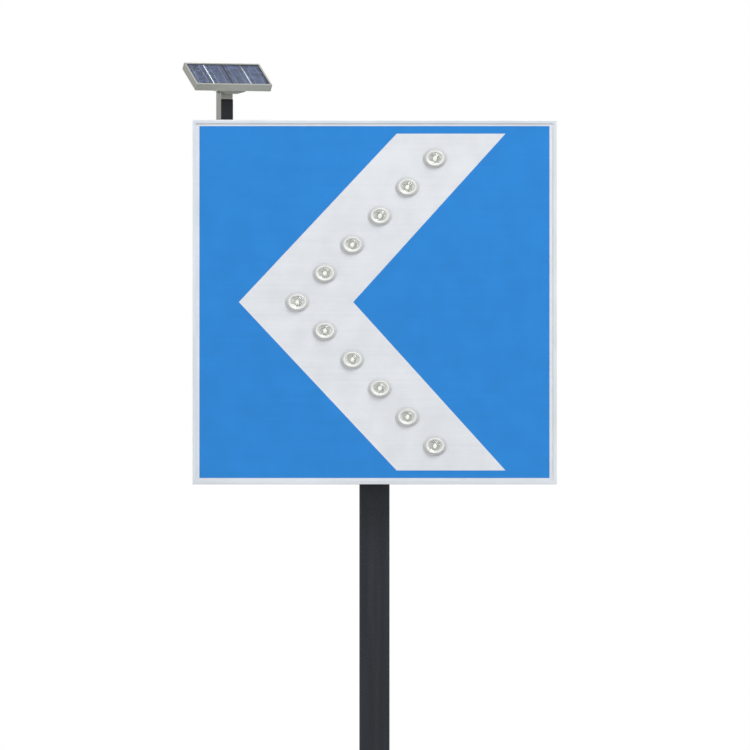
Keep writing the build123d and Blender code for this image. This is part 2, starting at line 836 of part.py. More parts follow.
with BuildPart() as clamp_bolts:
    bolt_seat_y = rail_rear_y - rail_wall
    ear_rear_y = rail_rear_y + strap_thickness
    nut_rear_y = ear_rear_y + clamp_washer_thickness + clamp_nut_thickness
    with BuildSketch(face_plane(bolt_seat_y)):
        with Locations(*clamp_bolt_points):
            Rectangle(clamp_bolt_diameter, clamp_bolt_head)
    extrude(amount=clamp_bolt_head_thickness)
    with BuildSketch(face_plane(bolt_seat_y)):
        with Locations(*clamp_bolt_points):
            Circle(clamp_bolt_diameter / 2)
    extrude(amount=-(nut_rear_y + clamp_bolt_tail - bolt_seat_y))
save(clamp_bolts, "clamp_bolts")

with BuildPart() as clamp_nuts:
    nut_bore = clamp_bolt_diameter / 2 + thread_gap
    with BuildSketch(face_plane(ear_rear_y)):
        with Locations(*clamp_bolt_points):
            Circle(clamp_washer_diameter / 2)
            Circle(nut_bore, mode=Mode.SUBTRACT)
    extrude(amount=-clamp_washer_thickness)
    with BuildSketch(face_plane(ear_rear_y + clamp_washer_thickness)):
        with Locations(*clamp_bolt_points):
            RegularPolygon(clamp_nut_size / 2, 6)
            Circle(nut_bore, mode=Mode.SUBTRACT)
    extrude(amount=-clamp_nut_thickness)
save(clamp_nuts, "clamp_nuts")


# Service door, its hinge and its lock

with BuildPart() as door_panel:
    with BuildSketch(face_plane(door_outer_y)):
        with Locations((door_x, 0)):
            RectangleRounded(door_width, door_height, door_corner)
    extrude(amount=door_thickness + door_lip)
    with BuildSketch(face_plane(door_skin_y)):
        with Locations((door_x, 0)):
            pan_corner = door_corner - door_thickness
            RectangleRounded(door_width - 2 * door_thickness, door_height - 2 * door_thickness, pan_corner)
    extrude(amount=door_lip, mode=Mode.SUBTRACT)
    with BuildSketch(face_plane(door_outer_y)):
        with Locations((lock_x, 0)):
            Circle(lock_barrel / 2 + lock_barrel_gap)
    extrude(amount=door_thickness, mode=Mode.SUBTRACT)
save(door_panel, "door_panel")

with BuildPart() as door_gasket:
    seal_width = door_width - 2 * (door_thickness + door_gasket_inset)
    seal_height = door_height - 2 * (door_thickness + door_gasket_inset)
    with BuildSketch(face_plane(door_skin_y)):
        with Locations((door_x, 0)):
            RectangleRounded(seal_width, seal_height, pan_corner)
            offset(amount=-door_gasket_width, kind=Kind.INTERSECTION, mode=Mode.SUBTRACT)
    extrude(amount=door_skin_y - back_rear_y - door_gasket_gap)
save(door_gasket, "door_gasket")

# Knuckles alternate from the bottom up: even ones on the back plate's leaf, odd ones on the door's.
hinge_bottom = sign_middle - hinge_height / 2


def knuckles(first):
    """Every second hinge knuckle, from the first one given, with half the end gap at each end."""
    with BuildPart() as rolled:
        for n in range(first, hinge_knuckles, 2):
            with BuildSketch(Plane.XY.offset(hinge_bottom + n * knuckle_pitch + hinge_end_gap / 2)):
                with Locations((hinge_x, hinge_y)):
                    Circle(hinge_knuckle / 2)
            extrude(amount=knuckle_pitch - hinge_end_gap)
    return rolled.part


hinge_bore = hinge_pin_diameter / 2 + hinge_pin_gap
body_leaf_y = back_rear_y + hinge_leaf_thickness
door_leaf_y = door_outer_y + hinge_leaf_thickness
for leaf_name, first_knuckle, leaf_y, root_y, reach in (
    ("body_hinge_leaf", 0, body_leaf_y, hinge_y, hinge_leaf),
    ("door_hinge_leaf", 1, door_leaf_y, door_leaf_y, -hinge_leaf),
):
    with BuildPart() as hinge_plate:
        with BuildSketch(face_plane(leaf_y)):
            edge_gap = math.copysign(hinge_knuckle / 2, reach)
            with Locations((hinge_x + (edge_gap + reach) / 2, 0)):
                Rectangle(abs(reach - edge_gap), hinge_height)
            if first_knuckle == 0:
                with Locations(*leaf_rivet_points):
                    Circle(rivet_hole / 2, mode=Mode.SUBTRACT)
        extrude(amount=hinge_leaf_thickness)
        with BuildSketch(face_plane(root_y)):
            for n in range(first_knuckle, hinge_knuckles, 2):
                knuckle_z = (n + 0.5) * knuckle_pitch - hinge_height / 2
                with Locations((hinge_x + edge_gap / 2, knuckle_z)):
                    Rectangle(abs(edge_gap), knuckle_pitch - hinge_end_gap)
        extrude(amount=root_y - leaf_y + hinge_leaf_thickness)
        add(knuckles(first_knuckle))
        with BuildSketch(Plane.XY.offset(hinge_bottom)):
            with Locations((hinge_x, hinge_y)):
                Circle(hinge_bore)
        extrude(amount=hinge_height, mode=Mode.SUBTRACT)
    save(hinge_plate, leaf_name)

with BuildPart() as hinge_pin:
    with BuildSketch(Plane.XY.offset(hinge_bottom)):
        with Locations((hinge_x, hinge_y)):
            Circle(hinge_pin_diameter / 2)
    extrude(amount=hinge_height)
    for head_z, outward in ((hinge_bottom + hinge_height, 1), (hinge_bottom, -1)):
        with BuildSketch(Plane.XY.offset(head_z)):
            with Locations((hinge_x, hinge_y)):
                Circle(hinge_knuckle / 2 - hinge_pin_gap)
        extrude(amount=outward * hinge_leaf_thickness)
save(hinge_pin, "hinge_pin")

with BuildPart() as door_lock:
    cam_rear_y = back_front_y - lock_cam_gap
    with BuildSketch(face_plane(door_outer_y)):
        with Locations((lock_x, 0)):
            Circle(lock_head / 2)
    extrude(amount=-lock_head_height)
    fillet(door_lock.edges().group_by(Axis.Y)[-1], lock_head_height / 4)
    with BuildSketch(face_plane(door_outer_y)):
        with Locations((lock_x, 0)):
            Circle(lock_barrel / 2)
    extrude(amount=door_outer_y - cam_rear_y)
    with BuildSketch(face_plane(cam_rear_y)):
        with Locations((lock_x, lock_cam_length / 2 - lock_cam_width / 2)):
            SlotOverall(lock_cam_length, lock_cam_width, rotation=90)
    extrude(amount=lock_cam_thickness)
    with BuildSketch(face_plane(door_outer_y + lock_head_height)):
        with Locations((lock_x, 0)):
            Rectangle(lock_slot_width, lock_slot_length)
    extrude(amount=lock_slot_depth, mode=Mode.SUBTRACT)
save(door_lock, "door_lock")


# Power switch

switch_top_y = back_rear_y + switch_flange_height
rocker_axis_y = switch_top_y - rocker_pivot_depth
switch_z = sign_middle - switch_drop
rocker_half_width = switch_slot_width / 2 - rocker_side_gap
with BuildPart() as switch_body:
    with BuildSketch(face_plane(switch_top_y)):
        with Locations((door_x, -switch_drop)):
            Circle(switch_flange / 2)
    extrude(amount=switch_flange_height)
    fillet(switch_body.edges().group_by(Axis.Y)[-1], switch_flange_height / 3)
    with BuildSketch(face_plane(back_rear_y)):
        with Locations((door_x, -switch_drop)):
            Circle(switch_barrel / 2)
    extrude(amount=switch_barrel_depth)
    with BuildSketch(face_plane(switch_top_y)):
        with Locations((door_x, -switch_drop)):
            Rectangle(switch_slot_width, switch_slot_height)
    extrude(amount=switch_slot_depth, mode=Mode.SUBTRACT)
    with BuildSketch(Plane.YZ.offset(door_x)):
        with Locations((rocker_axis_y, switch_z)):
            Circle(rocker_pin / 2 + rocker_pin_gap)
    extrude(amount=rocker_half_width + rocker_pin_reach + rocker_pin_gap, both=True, mode=Mode.SUBTRACT)
save(switch_body, "switch_body")

# The rocker is drawn about its pivot, local x up the sign and local y out of the back, and it
# stands pressed in at the top by half its throw.
press = math.radians(rocker_throw / 2)
rocker_plane = Plane(
    origin=(door_x, rocker_axis_y, switch_z),
    x_dir=(0, -math.sin(press), math.cos(press)),
    z_dir=(-1, 0, 0),
)
with BuildPart() as switch_rocker:
    rocker_top = rocker_rise + rocker_pivot_depth
    rocker_middle = rocker_dip + rocker_pivot_depth
    rocker_root = rocker_pivot_depth - rocker_root_depth
    with BuildSketch(rocker_plane):
        with BuildLine():
            Polyline(
                (-rocker_half_length, rocker_top),
                (0, rocker_middle),
                (rocker_half_length, rocker_top),
                (rocker_half_length, 0),
                (rocker_root_half, rocker_root),
                (-rocker_root_half, rocker_root),
                (-rocker_half_length, 0),
                close=True,
            )
        make_face()
    extrude(amount=rocker_half_width, both=True)
    with BuildSketch(rocker_plane):
        Circle(rocker_pin / 2)
    extrude(amount=rocker_half_width + rocker_pin_reach, both=True)
save(switch_rocker, "switch_rocker")


# Equipment inside the box

with BuildPart() as standoffs:
    for points, front_y in ((tray_standoff_points, plate_rear_y), (board_standoff_points, tray_rear_y)):
        with BuildSketch(face_plane(front_y)):
            with Locations(*points):
                Circle(standoff_diameter / 2)
        extrude(amount=-standoff_height)
save(standoffs, "standoffs")

with BuildPart() as equipment_tray:
    with BuildSketch(face_plane(tray_front_y)):
        with Locations((door_x, 0)):
            RectangleRounded(tray_width, tray_height, standoff_inset)
    extrude(amount=-tray_thickness)
save(equipment_tray, "equipment_tray")

with BuildPart() as battery_holder:
    with BuildSketch(face_plane(tray_rear_y)):
        with Locations((door_x + battery_x, 0)):
            Rectangle(battery_width + 2 * holder_wall, battery_height + 2 * holder_wall)
    extrude(amount=-(holder_floor + holder_rim))
    with BuildSketch(face_plane(tray_rear_y + holder_floor)):
        with Locations((door_x + battery_x, 0)):
            Rectangle(battery_width, battery_height)
    extrude(amount=-holder_rim, mode=Mode.SUBTRACT)
save(battery_holder, "battery_holder")

with BuildPart() as battery_cells:
    cell_axis_y = tray_rear_y + holder_floor + cell_gap + cell_diameter / 2
    cell_pitch = cell_diameter + cell_gap
    with BuildSketch(Plane.XY.offset(sign_middle)):
        for n in range(cell_count):
            with Locations((door_x + battery_x + (n - (cell_count - 1) / 2) * cell_pitch, cell_axis_y)):
                Circle(cell_diameter / 2)
    extrude(amount=cell_length / 2, both=True)
save(battery_cells, "battery_cells")

with BuildPart() as controller_board:
    with BuildSketch(face_plane(board_front_y)):
        with Locations((door_x + board_x, 0)):
            Rectangle(board_width, board_height)
    extrude(amount=-board_thickness)
save(controller_board, "controller_board")

with BuildPart() as controller_parts:
    with BuildSketch(face_plane(board_rear_y)):
        with Locations((door_x + board_x, -board_height / 2 + terminal_depth)):
            Rectangle(terminal_width, terminal_depth)
    extrude(amount=-terminal_height)
    with BuildSketch(face_plane(board_rear_y)):
        with Locations((door_x + board_x, board_height / 4)):
            with GridLocations(2 * capacitor_diameter, 1, 2, 1):
                Circle(capacitor_diameter / 2)
    extrude(amount=-capacitor_height)
    with BuildSketch(face_plane(board_rear_y)):
        with Locations((door_x + board_x, 0)):
            Rectangle(chip_side, chip_side)
    extrude(amount=-chip_height)
save(controller_parts, "controller_parts")


# Mast foot on the back plate

with BuildPart() as mast_foot:
    with BuildSketch(face_plane(back_rear_y)):
        with Locations((mast_x, foot_middle_z)):
            RectangleRounded(foot_width, foot_height, foot_corner)
    extrude(amount=-foot_thickness)
    with BuildSketch(Plane.XY.offset(socket_bottom)):
        with Locations((mast_x, mast_y)):
            Circle(socket_diameter / 2)
        with Locations((mast_x, (mast_y + back_rear_y) / 2)):
            Rectangle(socket_neck, mast_stand_off)
    extrude(amount=socket_length)
    with BuildSketch(Plane.XY.offset(socket_bottom)):
        with Locations((mast_x, mast_y)):
            Circle(spigot_diameter / 2 + spigot_gap)
    extrude(amount=socket_length, mode=Mode.SUBTRACT)
    with BuildSketch(face_plane(back_rear_y)):
        with Locations((mast_x, foot_middle_z)):
            with GridLocations(foot_screw_spacing, foot_screw_spacing, 2, 2):
                Circle(foot_screw_diameter / 2 + fastener_gap)
    extrude(amount=-foot_thickness, mode=Mode.SUBTRACT)
    with BuildSketch(face_plane(mast_y)):
        with Locations((mast_x, foot_middle_z)):
            Circle(lock_bolt_diameter / 2 + thread_gap)
    extrude(amount=-socket_diameter, mode=Mode.SUBTRACT)
save(mast_foot, "mast_foot")

with BuildPart() as foot_screws:
    foot_rear_y = back_rear_y + foot_thickness
    with BuildSketch(face_plane(foot_rear_y)):
        with Locations((mast_x, foot_middle_z)):
            with GridLocations(foot_screw_spacing, foot_screw_spacing, 2, 2):
                RegularPolygon(foot_screw_head / 2, 6)
    extrude(amount=-foot_screw_head_height)
    with BuildSketch(face_plane(foot_rear_y)):
        with Locations((mast_x, foot_middle_z)):
            with GridLocations(foot_screw_spacing, foot_screw_spacing, 2, 2):
                Circle(foot_screw_diameter / 2)
    extrude(amount=foot_thickness + back_thickness + foot_screw_grip)
save(foot_screws, "foot_screws")

with BuildPart() as swivel_lock_bolt:
    bolt_head_y = mast_y + socket_diameter / 2 + lock_bolt_stand_off
    with BuildSketch(face_plane(bolt_head_y)):
        with Locations((mast_x, foot_middle_z)):
            RegularPolygon(lock_bolt_head / 2, 6)
    extrude(amount=-lock_bolt_head_height)
    with BuildSketch(face_plane(bolt_head_y)):
        with Locations((mast_x, foot_middle_z)):
            Circle(lock_bolt_diameter / 2)
    extrude(amount=bolt_head_y - mast_y - spigot_diameter / 2 - lock_bolt_tip_gap)
save(swivel_lock_bolt, "swivel_lock_bolt")

with BuildPart() as lead_grommet:
    with BuildSketch(face_plane(back_rear_y)):
        with Locations((mast_x, grommet_z)):
            Circle(grommet_flange / 2)
    extrude(amount=-grommet_flange_height)
    fillet(lead_grommet.edges().group_by(Axis.Y)[-1], grommet_flange_height / 2)
    with BuildSketch(face_plane(back_rear_y)):
        with Locations((mast_x, grommet_z)):
            Circle(grommet_hole / 2 - fastener_gap)
    extrude(amount=back_thickness + grommet_flange_height)
save(lead_grommet, "lead_grommet")


# Mast that swivels in the foot

with BuildPart() as mast_spigot:
    with BuildSketch(mast_plane.offset(socket_bottom)):
        Circle(spigot_diameter / 2)
    extrude(amount=collar_bottom - socket_bottom)
    with BuildSketch(mast_plane.offset(collar_bottom)):
        Circle(collar_diameter / 2)
    extrude(amount=collar_thickness)
save(mast_spigot, "mast_spigot")

with BuildPart() as mast_channel:
    with BuildSketch(mast_plane.offset(mast_bottom)) as channel_section:
        Rectangle(mast_side, mast_side)
        fillet(channel_section.vertices().group_by(Axis.Y)[-1], mast_edge_radius)
        with Locations((0, -mast_wall)):
            Rectangle(mast_side - 2 * mast_wall, mast_side, mode=Mode.SUBTRACT)
    extrude(amount=mast_top - mast_bottom)
    with BuildSketch(mast_plane.offset(tie_bottom)):
        with Locations((0, (mast_wall - mast_side) / 2)):
            Rectangle(mast_side, mast_wall)
    extrude(amount=tie_top - tie_bottom)
    with BuildSketch(mast_side_plane):
        Circle(tilt_bolt_diameter / 2 + fastener_gap)
    extrude(amount=mast_side, both=True, mode=Mode.SUBTRACT)
save(mast_channel, "mast_channel")

with BuildPart() as mast_cover:
    cover_width = mast_side - 2 * (mast_wall + mast_cover_gap)
    with BuildSketch(mast_plane.offset(mast_bottom)):
        with Locations((0, -(mast_side + mast_cover_lap) / 2)):
            Rectangle(mast_side, mast_cover_lap)
        with Locations((0, (mast_cover_thickness - mast_side) / 2)):
            Rectangle(cover_width, mast_cover_thickness)
        for side in (1, -1):
            with Locations((side * (cover_width - mast_cover_thickness) / 2, -mast_cover_thickness)):
                Rectangle(mast_cover_thickness, mast_side - 2 * mast_cover_thickness)
    extrude(amount=cover_top - mast_bottom)
save(mast_cover, "mast_cover")

ear_outer = mast_side / 2 + ear_gap + ear_thickness
with BuildPart() as tilt_fasteners:
    seat = ear_outer + ear_gap
    head_seat = seat + tilt_washer_thickness
    tail_end = head_seat + tilt_nut_height + tilt_bolt_tail
    with BuildSketch(mast_side_plane.offset(-head_seat)):
        Circle(tilt_bolt_diameter / 2)
    extrude(amount=head_seat + tail_end)
    with BuildSketch(mast_side_plane.offset(-head_seat)):
        RegularPolygon(tilt_bolt_head / 2, 6)
    extrude(amount=-tilt_bolt_head_height)
    for washer_x in (-head_seat, seat):
        with BuildSketch(mast_side_plane.offset(washer_x)):
            Circle(tilt_washer_diameter / 2)
            Circle(tilt_bolt_diameter / 2 + thread_gap, mode=Mode.SUBTRACT)
        extrude(amount=tilt_washer_thickness)
    with BuildSketch(mast_side_plane.offset(head_seat)):
        RegularPolygon(tilt_bolt_head / 2, 6)
        Circle(tilt_bolt_diameter / 2 + thread_gap, mode=Mode.SUBTRACT)
    extrude(amount=tilt_nut_height)
save(tilt_fasteners, "tilt_fasteners")


# Tilting cradle and solar panel

cradle_depth = panel_depth - 2 * cradle_edge_inset
cradle_screw_points = [
    (sx * cradle_screw_spacing / 2, sy * (panel_depth / 2 - cradle_screw_inset))
    for sx in (1, -1)
    for sy in (1, -1)
]
cradle_screw_hole = cradle_screw_diameter / 2 + fastener_gap
with BuildPart() as panel_cradle:
    with BuildSketch(panel_plane.offset(cradle_rise)):
        Rectangle(cradle_width, cradle_depth)
        with Locations(*cradle_screw_points):
            Circle(cradle_screw_hole, mode=Mode.SUBTRACT)
    extrude(amount=cradle_thickness)
    for ear_start in (ear_outer - ear_thickness, -ear_outer):
        with BuildSketch(panel_side_plane.offset(ear_start)):
            Circle(ear_radius)
            with Locations((0, cradle_rise / 2)):
                Rectangle(2 * ear_radius, cradle_rise)
            Circle(tilt_bolt_diameter / 2 + tilt_bolt_gap, mode=Mode.SUBTRACT)
        extrude(amount=ear_thickness)
    nose_plane = Plane(
        origin=panel_plane.from_local_coords((0, -cradle_depth / 2, cradle_rise)),
        x_dir=panel_plane.x_dir,
        z_dir=panel_plane.y_dir * -1,
    )
    with BuildSketch(nose_plane):
        with BuildLine():
            Polyline(
                (-cradle_width / 2, 0),
                (cradle_width / 2, 0),
                (cradle_nose_width / 2, -cradle_nose_drop),
                (-cradle_nose_width / 2, -cradle_nose_drop),
                close=True,
            )
        make_face()
    extrude(amount=-cradle_thickness)
save(panel_cradle, "panel_cradle")

with BuildPart() as cradle_screws:
    with BuildSketch(panel_plane.offset(cradle_rise)):
        with Locations(*cradle_screw_points):
            Circle(cradle_screw_head / 2)
    extrude(amount=-cradle_screw_head_height)
    with BuildSketch(panel_plane.offset(cradle_rise)):
        with Locations(*cradle_screw_points):
            Circle(cradle_screw_diameter / 2)
    extrude(amount=cradle_thickness + panel_flange_thickness)
save(cradle_screws, "cradle_screws")

panel_profile = [
    (0, 0),
    (panel_lip_width, 0),
    (panel_lip_width, panel_lip_thickness),
    (panel_rail_wall, panel_lip_thickness),
    (panel_rail_wall, panel_thickness - panel_flange_thickness),
    (panel_flange_width, panel_thickness - panel_flange_thickness),
    (panel_flange_width, panel_thickness),
    (0, panel_thickness),
]
with BuildPart() as panel_frame:
    rail_places = (
        ((0, -panel_depth / 2), panel_plane.y_dir, panel_width),
        ((0, panel_depth / 2), panel_plane.y_dir * -1, panel_width),
        ((-panel_width / 2, 0), panel_plane.x_dir, panel_depth),
        ((panel_width / 2, 0), panel_plane.x_dir * -1, panel_depth),
    )
    for (edge_x, edge_y), inward, length in rail_places:
        edge_middle = panel_plane.from_local_coords((edge_x, edge_y, panel_top))
        add(mitred_rail(panel_profile, length, rail_plane(edge_middle, inward, panel_plane.z_dir * -1)))
    with BuildSketch(panel_plane.offset(panel_bottom)):
        with Locations(*cradle_screw_points):
            Circle(cradle_screw_hole)
    extrude(amount=panel_flange_thickness, mode=Mode.SUBTRACT)
save(panel_frame, "panel_frame")

laminate_width = panel_width - 2 * (panel_rail_wall + panel_edge_gap)
laminate_depth = panel_depth - 2 * (panel_rail_wall + panel_edge_gap)
with BuildPart() as panel_glass:
    with BuildSketch(panel_plane.offset(cell_top)):
        Rectangle(laminate_width, laminate_depth)
    extrude(amount=glass_thickness)
save(panel_glass, "panel_glass")

with BuildPart() as panel_cells:
    cell_field = panel_width - 2 * (panel_lip_width - cell_under_lip)
    cell_column = (cell_field - (cell_columns - 1) * cell_column_gap) / cell_columns
    cell_row = panel_depth - 2 * (panel_lip_width - cell_under_lip)
    with BuildSketch(panel_plane.offset(backsheet_top)):
        with GridLocations(cell_column + cell_column_gap, 1, cell_columns, 1):
            Rectangle(cell_column, cell_row)
    extrude(amount=cell_thickness)
save(panel_cells, "panel_cells")

with BuildPart() as panel_backsheet:
    with BuildSketch(panel_plane.offset(backsheet_bottom)):
        Rectangle(laminate_width, laminate_depth)
    extrude(amount=backsheet_thickness)
save(panel_backsheet, "panel_backsheet")

with BuildPart() as junction_box:
    with BuildSketch(panel_plane.offset(backsheet_bottom)):
        with Locations((junction_x, 0)):
            RectangleRounded(junction_width, junction_depth, junction_radius)
    extrude(amount=-junction_height)
    panel_normal = Axis(panel_plane.origin, panel_plane.z_dir)
    fillet(junction_box.faces().sort_by(panel_normal)[0].edges(), junction_radius / 2)
save(junction_box, "junction_box")

with BuildPart() as junction_gland:
    gland_middle = (junction_x, junction_depth / 2, backsheet_bottom - junction_height / 2)
    gland_plane = Plane(origin=panel_plane.from_local_coords(gland_middle), z_dir=panel_plane.y_dir)
    with BuildSketch(gland_plane):
        Circle(junction_gland_diameter / 2)
    extrude(amount=junction_gland_length)
    gland_axis = Axis(gland_plane.origin, gland_plane.z_dir)
    fillet(junction_gland.faces().sort_by(gland_axis)[-1].edges(), junction_gland_diameter / 8)
save(junction_gland, "junction_gland")
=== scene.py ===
"""Looks of the solar LED chevron sign: finishes, lamps, fasteners, solar cells, light and camera.

It is laid out as an add-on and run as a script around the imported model. Metres, +Z up, and the
sign faces -Y.
"""

import json
import math
from functools import cache

import bmesh
import bpy
from bpy.props import FloatProperty, FloatVectorProperty, IntProperty, PointerProperty
from mathutils import Matrix, Vector


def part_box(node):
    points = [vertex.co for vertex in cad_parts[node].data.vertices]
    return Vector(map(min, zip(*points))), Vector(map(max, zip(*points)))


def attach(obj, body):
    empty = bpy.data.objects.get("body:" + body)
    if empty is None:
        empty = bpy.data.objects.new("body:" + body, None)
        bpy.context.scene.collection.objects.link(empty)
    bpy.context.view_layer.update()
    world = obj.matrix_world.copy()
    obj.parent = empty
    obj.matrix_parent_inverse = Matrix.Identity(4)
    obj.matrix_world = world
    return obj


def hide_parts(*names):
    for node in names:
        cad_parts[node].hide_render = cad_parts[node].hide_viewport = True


bl_info = {
    "name": "Chevron sign looks",
    "version": (1, 0, 0),
    "blender": (4, 5, 0),
    "location": "3D View > Sidebar > Chevron sign",
    "description": "Dresses the packed solar LED chevron sign and lights it for a studio picture",
    "category": "Object",
}

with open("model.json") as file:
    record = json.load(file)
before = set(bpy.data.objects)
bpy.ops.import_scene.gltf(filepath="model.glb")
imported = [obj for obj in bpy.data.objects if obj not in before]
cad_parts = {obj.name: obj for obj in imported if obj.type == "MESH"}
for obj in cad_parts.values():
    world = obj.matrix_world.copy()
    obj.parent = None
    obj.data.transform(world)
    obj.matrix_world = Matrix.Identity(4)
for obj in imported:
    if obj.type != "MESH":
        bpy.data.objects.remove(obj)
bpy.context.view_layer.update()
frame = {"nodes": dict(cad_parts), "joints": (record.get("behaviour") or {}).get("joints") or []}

MM = 0.001
TURN = 2 * math.pi
# Local z out of the sign's face, and local z out of its back
FACE = Matrix(((1, 0, 0, 0), (0, 0, -1, 0), (0, 1, 0, 0), (0, 0, 0, 1)))
BACK = Matrix(((-1, 0, 0, 0), (0, 0, 1, 0), (0, 1, 0, 0), (0, 0, 0, 1)))
UP = Matrix.Identity(4)

# Stock fasteners: radius, bore and flats of M10, core radius of M6, and rise of a rivet's head
M10_RADIUS = 5 * MM
M10_BORE = 5.4 * MM
M10_FLATS = 17 * MM
M6_CORE = 2.9 * MM
RIVET_RISE = 1.5 * MM

# Lamps: bore and outside of the barrel, play round the lens, wall and floor of the cup, room over it
BORE = 7.4 * MM
BARREL = 11 * MM
LENS_PLAY = 0.15 * MM
CUP_WALL = 0.5 * MM
CUP_FLOOR = 1.6 * MM
CUP_PLAY = 0.3 * MM


# Settings

def linear(code):
    """An sRGB hex colour as linear red, green, blue and alpha."""
    parts = [int(code[i:i + 2], 16) / 255 for i in (0, 2, 4)]
    return (*(p / 12.92 if p <= 0.04045 else ((p + 0.055) / 1.055) ** 2.4 for p in parts), 1.0)


def colour(name, description, code):
    """A colour setting."""
    return FloatVectorProperty(
        name=name, description=description, subtype="COLOR", size=4, min=0, max=1, default=linear(code)
    )


def length(name, description, mm):
    """A length setting, given in millimetres."""
    return FloatProperty(
        name=name, description=description, unit="LENGTH", min=0, precision=5, default=mm * MM
    )


def power(name, description, watts):
    """The power of a lamp."""
    return FloatProperty(name=name, description=description, unit="POWER", min=0, default=watts)


class SignFaceLooks(bpy.types.PropertyGroup):
    """Sheeting and lamps of the face."""

    blue: colour("Blue", "Blue sheeting of the field", "2B85D4")
    white: colour("White", "White sheeting of the chevron and the border", "E0E3E8")
    cell: length("Sheeting cell", "Width of one cell of the reflective sheeting", 4.0)
    bezel: colour("Bezel", "White plastic of the lamp rings", "ECEDEA")
    # The rim's grey is painted shade: it darkens the rim round the white ring.
    rim: colour("Rim", "Grey of the lamp rims, painted shade", "D0D2D2")
    lens: colour("Lens", "Tint of the clear lenses", "FAFBFA")
    lens_rings: IntProperty(
        name="Lens rings", description="Rings moulded in a lens", min=2, max=12, default=5
    )
    ring_step: length("Ring step", "Height of one ring of a lens", 0.35)


class SignMetalLooks(bpy.types.PropertyGroup):
    """Metal and plastic of the box, the post and the fixings."""

    post: colour("Post", "Powder coat of the post and its base", "1A1D24")
    anodised: colour("Anodised", "Clear-anodised frame", "DADFE5")
    sheet: colour("Sheet", "Rolled aluminium sheet of the back and the door", "B7BBBE")
    galvanised: colour("Galvanised", "Zinc of the straps and the mast", "979893")
    spangle: length("Spangle", "Width of one zinc crystal", 6.0)
    zinc: colour("Zinc plate", "Zinc plate of the screws and the hinge", "BFC3C4")
    weld_leg: length("Weld leg", "Leg of the weld beads at the foot of the post", 4.0)
    thread_pitch: length("Thread pitch", "Pitch drawn on the M10 clamp bolts", 1.5)


class SignSolarLooks(bpy.types.PropertyGroup):
    """The solar panel."""

    edge: colour("Panel edge", "Weathered aluminium round the panel", "A6A7A0")
    silicon: colour("Silicon", "Cells of the solar panel", "303A56")
    grain: length("Crystal", "Width of one silicon crystal", 7.0)
    ribbon: length("Ribbon", "Width of a tinned ribbon", 0.7)
    finger: length("Finger pitch", "Spacing of the silver fingers on a cell", 2.4)


class SignStageLooks(bpy.types.PropertyGroup):
    """Floor, light and camera."""

    floor: colour("Floor", "Pale floor around the post", "E4E4E2")
    ambient: FloatProperty(
        name="Ambient", description="Light of the white room", min=0, default=0.45
    )
    key: power("Key", "Key lamp on the right", 155)
    fill: power("Fill", "Fill lamp on the left", 36)
    rear: power("Rear", "Lamp behind the sign", 110)
    distance: length("Distance", "Camera to the face of the sign", 15000)
    view_width: length("View width", "Width of the picture at the face of the sign", 1233.6)
    view_height: length("View height", "Height of the camera", 1380)
    view_side: length("View side", "How far the camera stands to the right of the post", 0.9)


# Mesh helpers

def at(place, axes=UP):
    """A place in the model with local axes."""
    return Matrix.Translation(place) @ axes


def solids(node, axes=UP):
    """Lowest and highest corners of each solid of a CAD node, along the given axes."""
    shape = bmesh.new()
    shape.from_mesh(frame["nodes"][node].data)
    shape.transform(axes.inverted())
    bmesh.ops.remove_doubles(shape, verts=shape.verts, dist=1e-6)
    seen, found = set(), []
    for start in shape.verts:
        if start in seen:
            continue
        seen.add(start)
        reached = [start]
        for vert in reached:
            near = {edge.other_vert(vert) for edge in vert.link_edges} - seen
            seen |= near
            reached += near
        corners = list(zip(*(vert.co for vert in reached)))
        found.append((Vector(map(min, corners)), Vector(map(max, corners))))
    shape.free()
    return sorted(found, key=lambda box: tuple(round(c, 5) for c in (*box[0], *box[1])))


def middle(box):
    """The middle of a box."""
    return (box[0] + box[1]) / 2


def skin(loops, closed=False):
    """A shape through loops of points. A loop of one point ends it, and an open end is capped."""
    shape = bmesh.new()
    rows = [[shape.verts.new(point) for point in loop] for loop in loops]
    for row, after in zip(rows, rows[1:] + rows[:1] if closed else rows[1:]):
        for i in range(max(len(row), len(after))):
            corners = (row[i % len(row)], row[(i + 1) % len(row)])
            corners += (after[(i + 1) % len(after)], after[i % len(after)])
            corners = list(dict.fromkeys(corners))
            if len(corners) > 2:
                shape.faces.new(corners)
    if not closed:
        for row in (rows[0], rows[-1]):
            if len(row) > 2:
                shape.faces.new(row)
    return shape


def turned(rings, sides=48, closed=False):
    """A shape turned about local z. A ring is (radius, rise) or (half width, half height, rise)."""
    loops = []
    for *radii, rise in rings:
        angles = [TURN * i / sides for i in range(sides)] if radii[0] else [0]
        loops.append([(radii[0] * math.cos(a), radii[-1] * math.sin(a), rise) for a in angles])
    return skin(loops, closed)


def scaled(profile, radius, height):
    """Rings of a profile that is drawn in shares of a radius and a height."""
    return [(radius * r, height * h) for r, h in profile]


def block(size, edge):
    """A box about its own middle with rounded edges."""
    shape = bmesh.new()
    bmesh.ops.create_cube(shape)
    bmesh.ops.scale(shape, vec=size, verts=shape.verts)
    bmesh.ops.bevel(
        shape, geom=shape.edges[:], offset=edge, segments=3, profile=0.5,
        affect="EDGES", clamp_overlap=True,
    )
    return shape


def hexagon(flats, height, both=False):
    """A hexagon head or nut from local z 0 up, with the cone that its corners are turned to."""
    steps = [height * k / 12 for k in range(13)]
    loops = []
    for rise in steps:
        depth = min(rise, height - rise) if both else height - rise
        cone = 0.485 * flats + depth * math.tan(math.radians(60))
        loop = []
        for i in range(72):
            angle = TURN * i / 72
            corner = flats / 2 / math.cos((angle + TURN / 12) % (TURN / 6) - TURN / 12)
            reach = min(corner, cone)
            loop.append((reach * math.cos(angle), reach * math.sin(angle), rise))
        loops.append(loop)
    return skin(loops)


